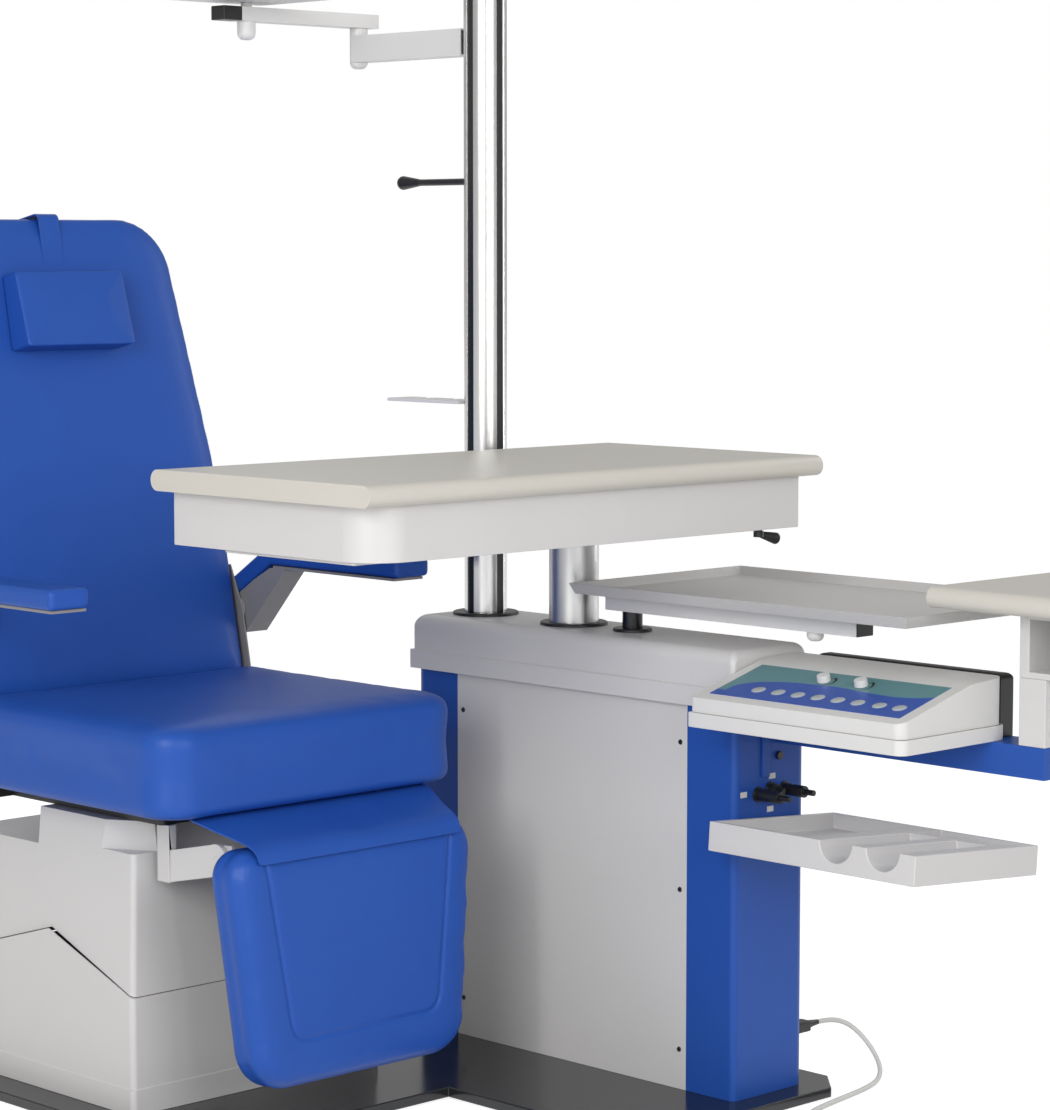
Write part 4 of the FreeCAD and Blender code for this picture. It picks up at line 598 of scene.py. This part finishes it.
def label_stock():
    """Engraving laminate of the bare plates: matt off-white."""
    return made(moulded, "Engraving Laminate", "#DAD9D2", 0.45)


def lead_sheath():
    """PVC of the mains lead: off-white and slightly rubbery."""
    return made(moulded, "PVC Sheath", "#CFCECA", 0.42)


def top_laminate():
    """Post-formed laminate of the table and desk: warm white with a coarse texture."""
    return made(moulded, "Post-formed Laminate", finishes().top_hex, 0.40, 2.2, 0.06)


def blue_enamel():
    """Blue stove enamel of the cabinet's covers and beam: orange peel, a muted gloss."""
    return made(enamel, "Blue Enamel", finishes().panel_hex, 0.40, Specular_IOR_Level=0.26)


def grey_enamel():
    """Pale grey powder coat of the side panels and the legrest's metal: even, low gloss."""
    return made(enamel, "Grey Enamel", "#D2D0CE", 0.40)


def white_enamel():
    """White enamel of the arms and shelves: the brightest of the coated metals."""
    return made(enamel, "White Enamel", "#E2E1E0", 0.34)


def tray_enamel():
    """Grey enamel of the lens tray: duller than the arms that carry it."""
    return made(enamel, "Tray Enamel", "#C2C0BE", 0.42)


def painted_shade_bracket_enamel():
    """Mid grey enamel of the backrest's shell and all brackets of the chair's back and arms.

    It is darker than the covers, a painted shade, so that these parts recede behind the blue
    pads.
    """
    # The mid grey is painted shade for the brackets and shell that sit behind the pads.
    return made(enamel, "Bracket Enamel With Painted Shade", "#8A8887", 0.42)


def black_enamel():
    """Black gloss enamel of the floor plate: a clear reflection with a wide, slow peel."""
    return made(enamel, "Black Gloss Enamel", "#232426", 0.16, 14.0)


def dark_primer():
    """Dark primer of the frames and the lift: flat, so that the gaps read as shadow."""
    return made(enamel, "Dark Primer", "#232325", 0.5)


def pillar_metal():
    """Anodised aluminium of the pillar: bright, with reflections drawn out in height."""
    return made(drawn_metal, "Anodised Aluminium", "#D6D5D4", 0.24)


def column_metal():
    """Ground aluminium of the lift column: softer reflections than the pillar's."""
    return made(drawn_metal, "Ground Aluminium", "#C9C9C9", 0.34)


def dark_metal():
    """Dark bright steel of the tray's post: near black with a narrow highlight."""
    return made(drawn_metal, "Dark Bright Steel", "#3A3A3C", 0.22)


# Camera, floor and lamps

CAMERA_PLACE = (-3.110, -3.997, 1.300)
CAMERA_YAW = -44.1965
CAMERA_PITCH = 5.41867
CAMERA_LENS = 105.13
CAMERA_SENSOR = 36.0


def make_camera():
    data = bpy.data.cameras.new("camera")
    data.lens = CAMERA_LENS
    data.sensor_width = CAMERA_SENSOR
    data.clip_end = 100
    camera = link(bpy.data.objects.new("camera", data))
    camera.location = CAMERA_PLACE
    camera.rotation_euler = Euler(
        (math.radians(90 - CAMERA_PITCH), 0, math.radians(CAMERA_YAW)))
    bpy.context.scene.camera = camera


FLOOR_GLOW = 0.62
FLOOR_HALF_M = 30      # half the floor's side, in metres
FLOOR_DROP_MM = 0.2    # below the unit's feet, so that no faces coincide
WORLD_LIT, WORLD_SHOWN, WORLD_GLOSSY = 0.50, 1.0, 0.5

AIM = (0.2, -0.4, 0.7)
# Name, place, aim, sides and power. Strips draw the long highlights on the columns.
LAMPS = (("key", (-3.7, -2.4, 2.1), AIM, (2.0, 2.0), 76),
         ("front", (-0.6, -4.8, 1.9), AIM, (1.6, 2.0), 42),
         ("strip_left", (-2.6, -1.5, 1.6), AIM, (0.14, 1.8), 9),
         ("strip_front", (-1.4, -3.4, 1.7), AIM, (0.14, 1.8), 9),
         ("strip_right", (2.4, -0.9, 1.5), (0.1, 0.1, 0.9), (0.14, 1.8), 9),
         ("back", (1.6, 2.6, 3.0), AIM, (2.0, 2.0), 8))


def seen_or_mirrored(tree, path):
    """One for rays from the camera and for glossy rays."""
    return add(tree, "ShaderNodeMath", {0: path.outputs["Is Camera Ray"],
                                        1: path.outputs["Is Glossy Ray"]},
               operation="MAXIMUM").outputs["Value"]


def white_to_camera(name, code):
    """A pale matt floor that looks white to the camera and keeps the shadows on it."""
    material = bpy.data.materials.new(name)
    material.use_nodes = True
    tree = material.node_tree
    tree.nodes.clear()
    cloth = add(tree, "ShaderNodeBsdfDiffuse", {"Color": linear(code)})
    glow = add(tree, "ShaderNodeEmission",
               {"Color": linear("#FFFFFF"), "Strength": FLOOR_GLOW})
    both = add(tree, "ShaderNodeAddShader",
               {0: cloth.outputs["BSDF"], 1: glow.outputs["Emission"]})
    seen = seen_or_mirrored(tree, add(tree, "ShaderNodeLightPath"))
    mix = add(tree, "ShaderNodeMixShader",
              {0: seen, 1: cloth.outputs["BSDF"], 2: both.outputs["Shader"]})
    add(tree, "ShaderNodeOutputMaterial", {"Surface": mix.outputs["Shader"]})
    return material


def make_lamp(name, place, aim, size, energy):
    data = bpy.data.lights.new(name, "AREA")
    data.shape = "RECTANGLE"
    data.size, data.size_y = size
    data.energy = energy
    lamp = link(bpy.data.objects.new(name, data))
    lamp.location = place
    lamp.rotation_euler = (Vector(aim) - Vector(place)).to_track_quat("-Z", "Y").to_euler()


class EXAM_OT_stage(bpy.types.Operator):
    """Set the camera, the pale floor and the studio lamps"""

    bl_idname = "exam.stage"
    bl_label = "Stage"

    def execute(self, context):
        make_camera()
        bm = bmesh.new()
        bmesh.ops.create_grid(bm, x_segments=1, y_segments=1, size=FLOOR_HALF_M)
        floor = mesh_object("floor", bm)
        floor.location.z = -FLOOR_DROP_MM * MM
        floor.data.materials.append(white_to_camera("Pale Floor", "#E6E6E6"))

        world = bpy.data.worlds.new("studio")
        context.scene.world = world
        world.use_nodes = True
        tree = world.node_tree
        tree.nodes.clear()
        path = add(tree, "ShaderNodeLightPath")
        seen = seen_or_mirrored(tree, path)
        lit, shown, glossy = (
            add(tree, "ShaderNodeBackground",
                {"Color": linear("#FFFFFF"), "Strength": strength}).outputs[0]
            for strength in (WORLD_LIT, WORLD_SHOWN, WORLD_GLOSSY))
        first = add(tree, "ShaderNodeMixShader",
                    {0: path.outputs["Is Glossy Ray"], 1: shown, 2: glossy})
        mix = add(tree, "ShaderNodeMixShader", {0: seen, 1: lit, 2: first.outputs[0]})
        add(tree, "ShaderNodeOutputWorld", {"Surface": mix.outputs[0]})

        for lamp in LAMPS:
            make_lamp(*lamp)
        context.scene.view_settings.view_transform = "Standard"
        return {"FINISHED"}


# The mains lead, whose points are the same as the frame's route

CORD_ROUTE_MM = [
    (696.0, -740.0, 92.0), (728.0, -740.0, 92.0), (764.0, -748.0, 80.0), (786.0, -768.0, 50.0),
    (783.0, -797.0, 19.0), (749.0, -823.0, 6.0), (699.0, -839.0, 4.5), (642.0, -849.0, 4.5),
    (583.0, -859.0, 4.5), (525.0, -872.0, 4.5), (474.0, -904.0, 4.5), (440.0, -955.0, 4.5),
    (440.0, -1010.0, 4.5)]
COIL_TAIL_MM = [(0.0, -26.0, 0.0), (-4.0, -56.0, 5.0), (-4.0, -84.0, 5.0)]
STEPS_PER_HALF_TURN = 9


def coil_points(lead):
    """Half turns that spiral in, climb a layer and spiral out, then the tail to the plug."""
    step = lead.pitch / 2
    inward = lead.half_turns // 2
    radius = lead.mean_radius + step * inward / 2
    at = Vector(CORD_ROUTE_MM[-1]) * MM
    outset = 1 / math.cos(math.pi / STEPS_PER_HALF_TURN / 2)
    points = []
    side = 1
    for i in range(lead.half_turns):
        change = 0 if i == inward else (-step if i < inward else step)
        width = 2 * radius + change
        centre = at + Vector((side * width / 2, 0, 0))
        rise = lead.lift if i == inward else 0
        for k in range(1, STEPS_PER_HALF_TURN + 1):
            angle = math.pi * (k - 0.5) / STEPS_PER_HALF_TURN
            around = Vector((-side * math.cos(angle), -side * math.sin(angle), 0))
            up = Vector((0, 0, rise * (1 - math.cos(angle)) / 2))
            points.append(centre + around * (width / 2 * outset) + up)
        at = at + Vector((side * width, 0, rise))
        radius += change
        side = -side
    points.append(at)
    return points + [at + Vector(offset) * MM for offset in COIL_TAIL_MM]


class EXAM_OT_mains_lead(bpy.types.Operator):
    """Lay the mains lead with its coil, connector and plug"""

    bl_idname = "exam.mains_lead"
    bl_label = "Mains lead"

    def execute(self, context):
        lead = context.scene.exam_lead
        points = [Vector(p) * MM for p in CORD_ROUTE_MM] + coil_points(lead)
        curve = bpy.data.curves.new("mains_lead", "CURVE")
        curve.dimensions = "3D"
        curve.bevel_depth = lead.diameter / 2
        curve.bevel_resolution = 4
        curve.resolution_u = 4
        spline = curve.splines.new("NURBS")
        spline.points.add(len(points) - 1)
        for point, place in zip(spline.points, points):
            point.co = (*place, 1.0)
        spline.order_u = 3
        spline.use_endpoint_u = True
        lead_piece = link(bpy.data.objects.new("mains_lead", curve))
        dressed(lead_piece, "base", lead_sheath(), "white_cord", "mains_cord", "mains_coil")
        plug = softened("mains_plug", 0.8, black_moulding())
        soften_all(("mains_connector", 0.6, black_moulding),
                   ("mains_inlet", 0.5, black_moulding))
        return {"FINISHED"}


# Upholstery

def cushion(node, name, body, rounds, cap_mm=None, voxel_mm=None):
    """A padded piece on a node's shape; what isn't given comes from the settings."""
    settings = bpy.context.scene.exam_cushions
    piece = welded_copy(node, name)
    puffed(piece, voxel_mm or settings.voxel_mm, settings.pressure,
           settings.cap_mm if cap_mm is None else cap_mm, rounds)
    dressed(piece, body, vinyl(), "blue_vinyl", node)
    return piece


class EXAM_OT_seat(bpy.types.Operator):
    """Upholster the seat, the backrest and the headrest"""

    bl_idname = "exam.seat"
    bl_label = "Seat and back"

    def execute(self, context):
        cushion("seat_cushion", "seat_pad", "seat", rounds=4)
        cushion("backrest_cushion", "back_pad", "backrest", voxel_mm=7.2, rounds=3)
        cushion("headrest_pillow", "head_pillow", "headrest", cap_mm=0, voxel_mm=3.0,
                rounds=1)
        soften_all(("headrest_strap", 0.5, vinyl),
                   ("backrest_shell", 0, painted_shade_bracket_enamel),
                   ("backrest_frame", 1.0, painted_shade_bracket_enamel),
                   ("seat_frame", 0.8, dark_primer))
        return {"FINISHED"}


# The legrest's face, in millimetres: across it, up it from its hinge, and out of it

LEG_HINGE_MM = Vector((0, -347, 412))
LEG_LEAN = math.radians(86.65)
LEG_FACE_MM = 80      # nothing that stands out less than this is pressed in
SEAM_DEPTH_MM = 2.6
SEAM_HALF_MM = 3.2
CORNER_STEPS = 8


def on_legrest(place):
    """A place in millimetres as across, up and out of the legrest's face."""
    reach = place - LEG_HINGE_MM
    return (reach.x, reach.y * math.cos(LEG_LEAN) + reach.z * math.sin(LEG_LEAN),
            reach.z * math.cos(LEG_LEAN) - reach.y * math.sin(LEG_LEAN))


def u_line():
    """A sewn line down one side, round the foot and up the other side."""
    start, corner, end = Vector((145.3, -232.9)), Vector((141, -262)), Vector((111.6, -262))
    half = [Vector((179, 0))]
    for i in range(CORNER_STEPS + 1):
        t = i / CORNER_STEPS
        half.append(start * (1 - t) ** 2 + corner * 2 * t * (1 - t) + end * t * t)
    return half + [Vector((-spot.x, spot.y)) for spot in reversed(half)]


# The apron's section, in millimetres: y, z and half its width there

APRON_ROWS_MM = [(-331, 475.4, 229), (-348, 473.5, 226), (-368, 467.5, 221),
                 (-392, 459.5, 211), (-416, 452.0, 202), (-436, 446.0, 198.5),
                 (-448, 439.0, 197.5), (-454.6, 430.0, 197), (-455.6, 419.5, 197)]
APRON_COLUMNS = 24
APRON_THICK_MM = 2.2
APRON_WAVES_MM = ((1.6, 47, 0.8), (0.8, 19, 0.0))    # height, length over a radian, start


def apron_sheet():
    """The flap's cloth, wider under the seat, with slow waves that fade at both ends."""
    bm = bmesh.new()
    rows = []
    for i, (y, z, half) in enumerate(APRON_ROWS_MM):
        fade = math.sin(math.pi * i / (len(APRON_ROWS_MM) - 1))
        row = []
        for k in range(APRON_COLUMNS + 1):
            x = half * (2 * k / APRON_COLUMNS - 1)
            wave = sum(height * fade * math.sin(x / length + start)
                       for height, length, start in APRON_WAVES_MM)
            row.append(bm.verts.new(Vector((x, y - wave * 0.4, z - wave)) * MM))
        rows.append(row)
    for low, high in zip(rows, rows[1:]):
        for k in range(APRON_COLUMNS):
            bm.faces.new((low[k], high[k], high[k + 1], low[k + 1]))
    bmesh.ops.recalc_face_normals(bm, faces=bm.faces)
    flap = mesh_object("apron", bm)
    modifier(flap, "SUBSURF", levels=2, render_levels=2)
    modifier(flap, "SOLIDIFY", thickness=APRON_THICK_MM * MM, offset=0)
    settle(flap)
    smooth_by_angle(flap)
    flap.data.materials.append(vinyl())
    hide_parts("apron_flap")
    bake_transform(flap)


class EXAM_OT_legrest(bpy.types.Operator):
    """Upholster the legrest and hang its apron"""

    bl_idname = "exam.legrest"
    bl_label = "Legrest"

    def execute(self, context):
        pad = cushion("legrest_pad", "leg_pad", "legrest", cap_mm=2.0, voxel_mm=5.0,
                      rounds=6)
        sewn(pad, on_legrest, u_line(), LEG_FACE_MM, SEAM_DEPTH_MM, SEAM_HALF_MM)
        soften_all(("legrest_bracket", 0.8, grey_enamel),
                   ("legrest_hangers", 1.5, grey_enamel))
        apron_sheet()
        return {"FINISHED"}


class EXAM_OT_armrests(bpy.types.Operator):
    """Finish the armrest pads and their brackets"""

    bl_idname = "exam.armrests"
    bl_label = "Armrests"

    def execute(self, context):
        for side in ("left", "right"):
            cushion("armrest_pad_" + side, "arm_pad_" + side, "armrest_" + side, cap_mm=0,
                    voxel_mm=3.0, rounds=2)
            softened("armrest_bracket_" + side, 2.0, painted_shade_bracket_enamel())
        return {"FINISHED"}


class EXAM_OT_chair_base(bpy.types.Operator):
    """Finish the floor plate, the base covers and the lift"""

    bl_idname = "exam.chair_base"
    bl_label = "Chair base"

    def execute(self, context):
        soften_all(("floor_plate", 2.0, black_enamel),
                   ("base_lower_cover", 1.2, light_moulding),
                   ("base_upper_cover", 1.2, light_moulding),
                   ("chair_lift_guide", 0.8, dark_primer),
                   ("chair_lift_ram", 0.8, dark_primer))
        return {"FINISHED"}


# Bare plates by the sockets, x and z in millimetres

LABELS_MM = [(537, 505), (473, 483), (533, 455), (579, 483)]
LABEL_SIZE_MM = {"Width": 14, "Thickness": 0.6, "Height": 8.5}

SCREW_HEIGHTS_MM = (78, 326, 553)
SCREW_INSET_MM = 3.2     # from the end of the row of screws to its last centre
SCREW_HEAD_MM = 1.4


class EXAM_OT_cabinet(bpy.types.Operator):
    """Finish the cabinet, its cap, its sockets and screws"""

    bl_idname = "exam.cabinet"
    bl_label = "Cabinet"

    def execute(self, context):
        soften_all(("cabinet_frame", 0, dark_primer),
                   ("cabinet_side_panels", 0.5, grey_enamel),
                   ("cabinet_front_cover", 0.5, blue_enamel),
                   ("cabinet_rear_cover", 0.5, blue_enamel),
                   ("cabinet_cap", 0.6, light_moulding))
        panel_low, panel_high = (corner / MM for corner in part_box("cabinet_side_panels"))
        low, high = (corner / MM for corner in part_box("cabinet_screws"))
        sizes = {"Head radius": finishes().screw_radius_mm, "Head height": SCREW_HEAD_MM}
        for name, side, x, nodes in (("screws_near", -1, panel_low.x, ["cabinet_screws"]),
                                     ("screws_far", 1, panel_high.x, [])):
            places = [(x, y, z) for y in (low.y + SCREW_INSET_MM, high.y - SCREW_INSET_MM)
                      for z in SCREW_HEIGHTS_MM]
            screws = repeated(name, places, (0, side * math.pi / 2, 0), sizes, crossed_head,
                              black_moulding())
            dressed(screws, "base", black_moulding(), "black_plastic", *nodes)
        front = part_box("cabinet_front_cover")[0].y / MM
        back = front - LABEL_SIZE_MM["Thickness"] / 2
        plates = repeated("label_plates", [(x, back, z) for x, z in LABELS_MM],
                          (0, 0, 0), LABEL_SIZE_MM, small_plate, label_stock())
        dressed(plates, "base", label_stock(), "white_knob")
        soften_all(("column_collars", 0, black_moulding),
                   ("cabinet_sockets", 0.6, black_moulding))
        return {"FINISHED"}


class EXAM_OT_columns(bpy.types.Operator):
    """Finish the pillar, the lift column and the pillar's fittings"""

    bl_idname = "exam.columns"
    bl_label = "Columns"

    def execute(self, context):
        soften_all(("pillar", 0.6, pillar_metal),
                   ("pillar_slot_strips", 0, black_moulding),
                   ("table_lift_guide", 0, dark_primer),
                   ("table_column", 0, column_metal),
                   ("tray_post", 0, dark_metal),
                   ("accessory_holder", 0.8, white_enamel),
                   ("pillar_lever", 0, black_moulding),
                   ("upper_arm_fixed", 0.8, white_enamel),
                   ("upper_arm_swing", 0.8, white_enamel),
                   ("upper_arm_end_cap", 1.5, black_moulding),
                   ("upper_shelf", 0.8, white_enamel))
        return {"FINISHED"}


# The instrument tray, in its own millimetres: x away from the chair, y along it, z up

TRAY_FOOT_MM = Vector((393.5, 0, 454))
TRAY_LEAN = math.radians(4.3)
TRAY_HALF_MM = 142
TROUGH_RADIUS_MM = 30
TROUGH_LENGTH_MM = 210
TROUGH_START_MM = -147
TRAY_EDGE_MM = 1.6


def box_mesh(name, x0, x1, y0, y1, z0, z1):
    """A box from its limits in millimetres."""
    bm = bmesh.new()
    bmesh.ops.create_cube(bm, size=1)
    for vertex in bm.verts:
        x, y, z = vertex.co
        vertex.co = Vector((x1 if x > 0 else x0, y1 if y > 0 else y0,
                            z1 if z > 0 else z0)) * MM
    return mesh_object(name, bm)


def trough_mesh(name, y):
    """The cutter of a round trough across the tray, open at its near end."""
    bm = bmesh.new()
    bmesh.ops.create_cone(bm, cap_ends=True, segments=64, radius1=TROUGH_RADIUS_MM * MM,
                          radius2=TROUGH_RADIUS_MM * MM, depth=TROUGH_LENGTH_MM * MM)
    for vertex in bm.verts:
        x, across, along = vertex.co
        vertex.co = (along + (TROUGH_LENGTH_MM / 2 + TROUGH_START_MM) * MM,
                     across + y * MM, -x)
    return mesh_object(name, bm)


def instrument_tray():
    """A moulded tray: a deep recess, two rounded troughs and a shallow ledge behind them."""
    tray = box_mesh("instrument_tray_dressed", -TRAY_HALF_MM, TRAY_HALF_MM, -1176, -786,
                    -44, 0)
    cutters = [box_mesh("recess", -133, 133, -965.4, -795, -24, 5),
               trough_mesh("trough_rear", -1030),
               trough_mesh("trough_front", -1117),
               box_mesh("ledge", 74, 133, -1166, -1004, -15, 5)]
    for cutter in cutters:
        modifier(tray, "BOOLEAN", operation="DIFFERENCE", object=cutter, solver="EXACT")
        settle(tray)
        bpy.data.objects.remove(cutter)
    modifier(tray, "BEVEL", width=TRAY_EDGE_MM * MM, segments=3, limit_method="ANGLE",
             angle_limit=math.radians(40), use_clamp_overlap=True)
    settle(tray)
    bracket = [box_mesh("upright", -40, 40, -786, -782, -58, -26),
               box_mesh("shelf", -40, 40, -906, -782, -48, -44)]
    bm = bmesh.new()
    for part in [tray] + bracket:
        bm.from_mesh(part.data)
        if part is not tray:
            bpy.data.objects.remove(part)
    cosine, sine = math.cos(TRAY_LEAN), math.sin(TRAY_LEAN)
    for vertex in bm.verts:
        x, y, z = vertex.co / MM
        x += TRAY_HALF_MM
        vertex.co = (TRAY_FOOT_MM + Vector((x * cosine + z * sine, y,
                                            z * cosine - x * sine))) * MM
    bm.to_mesh(tray.data)
    bm.free()
    even_faces(tray)
    dressed(tray, "base", light_moulding(), slot_of("instrument_tray"), "instrument_tray")


class EXAM_OT_tables(bpy.types.Operator):
    """Finish the table, the lens tray, the desk and the instrument tray"""

    bl_idname = "exam.tables"
    bl_label = "Tables and trays"

    def execute(self, context):
        soften_all(("table_top", 0, top_laminate),
                   ("table_skirt", 0.8, light_moulding),
                   ("table_lock_lever", 0.8, black_moulding),
                   ("tray_arm", 0.8, white_enamel),
                   ("tray_arm_end_cap", 1.0, black_moulding),
                   ("lens_tray", 0.8, tray_enamel),
                   ("instrument_beam", 1.0, blue_enamel))
        instrument_tray()
        soften_all(("desk_post", 1.5, light_moulding),
                   ("desk_shelf", 1.2, light_moulding),
                   ("desk_top", 0, top_laminate))
        return {"FINISHED"}


# The keys, knobs and dial marks, in millimetres on the console's sloped face

KEYS_Y_MM = (-876, -914, -951.7, -989.5, -1026.9, -1063.8, -1103.3, -1139.5)
KNOBS_Y_MM = (-955, -1025)
KEYS_UP_MM = 55.6
KEY_OUT_MM = 0.8
KEY_SIZE_MM = {"Width": 21, "Length": 22, "Height": 0.6}

DIAL_UP_MM = 111.7
DIAL_RADIUS_MM = 17.5
DIAL_SWEEP = 130             # degrees
DIAL_STEPS = 16
DIAL_OUT_MM = (0.85, 1.0)    # from the sloped face to the mark's back and its front
DIAL_HALF_MM = 0.4           # half the mark's width where it starts
DIAL_GROWTH_MM = 2.2         # what half its width gains to its end


def dial_mark(name, y):
    """A plain arc beside a knob that grows wider round the dial."""
    bm = bmesh.new()
    edges = []
    for k in range(DIAL_STEPS + 1):
        angle = math.radians(-DIAL_SWEEP / 2 + DIAL_SWEEP * k / DIAL_STEPS)
        reach = DIAL_HALF_MM + DIAL_GROWTH_MM * k / DIAL_STEPS
        for out in DIAL_OUT_MM:
            edges.append([bm.verts.new(on_slope(y - r * math.cos(angle),
                                                DIAL_UP_MM + r * math.sin(angle), out))
                          for r in (DIAL_RADIUS_MM - reach, DIAL_RADIUS_MM + reach)])
    for k in range(DIAL_STEPS):
        (a, b), (c, d), (e, f), (g, h) = edges[2 * k:2 * k + 4]
        for face in ((c, d, h, g), (a, e, f, b), (a, c, g, e), (b, f, h, d)):
            bm.faces.new(face)
    for first, second in (edges[:2], edges[-2:]):
        bm.faces.new((first[0], first[1], second[1], second[0]))
    bmesh.ops.recalc_face_normals(bm, faces=bm.faces)
    dressed(mesh_object(name, bm), "base", black_moulding(), "black_plastic")


class EXAM_OT_console(bpy.types.Operator):
    """Finish the console with its keypad film and knobs"""

    bl_idname = "exam.console"
    bl_label = "Console"

    def execute(self, context):
        soften_all(("console_base", 1.2, white_moulding),
                   ("console_cover", 1.2, white_moulding))
        softened("console_overlay", 0, made(printed_film, "Printed Polyester Film"))
        places = [on_slope(y, KEYS_UP_MM, KEY_OUT_MM) / MM for y in KEYS_Y_MM]
        keys = repeated("console_keys", places, (0, -SLOPE, 0), KEY_SIZE_MM, domed_key,
                        key_print())
        dressed(keys, "base", key_print(), "white_knob")
        for i, y in enumerate(KNOBS_Y_MM):
            dial_mark("dial_mark_%d" % (i + 1), y)
        soften_all(("console_knob_1", 0.8, white_moulding),
                   ("console_knob_2", 0.8, white_moulding))
        return {"FINISHED"}


class EXAM_PT_panel(bpy.types.Panel):
    """Lists the steps that dress the unit"""

    bl_idname = "EXAM_PT_panel"
    bl_label = "Examination Unit"
    bl_space_type = "VIEW_3D"
    bl_region_type = "UI"
    bl_category = "Exam Unit"

    def draw(self, context):
        for group in ("exam_finishes", "exam_cushions", "exam_lead"):
            settings = getattr(context.scene, group)
            for name in settings.__annotations__:
                self.layout.prop(settings, name)
        for operator in OPERATORS:
            self.layout.operator(operator.bl_idname)


SETTINGS = {"exam_finishes": FinishSettings, "exam_cushions": CushionSettings,
            "exam_lead": LeadSettings}
OPERATORS = (EXAM_OT_stage, EXAM_OT_mains_lead, EXAM_OT_seat, EXAM_OT_legrest,
             EXAM_OT_armrests, EXAM_OT_chair_base, EXAM_OT_cabinet, EXAM_OT_columns,
             EXAM_OT_tables, EXAM_OT_console)


def register():
    for cls in (*SETTINGS.values(), *OPERATORS, EXAM_PT_panel):
        bpy.utils.register_class(cls)
    for name, cls in SETTINGS.items():
        setattr(bpy.types.Scene, name, PointerProperty(type=cls))


def unregister():
    for name in SETTINGS:
        delattr(bpy.types.Scene, name)
    for cls in reversed((*SETTINGS.values(), *OPERATORS, EXAM_PT_panel)):
        bpy.utils.unregister_class(cls)


def main():
    register()
    for operator in OPERATORS:
        family, name = operator.bl_idname.split(".")
        getattr(getattr(bpy.ops, family), name)()


if __name__ == "__main__":
    main()
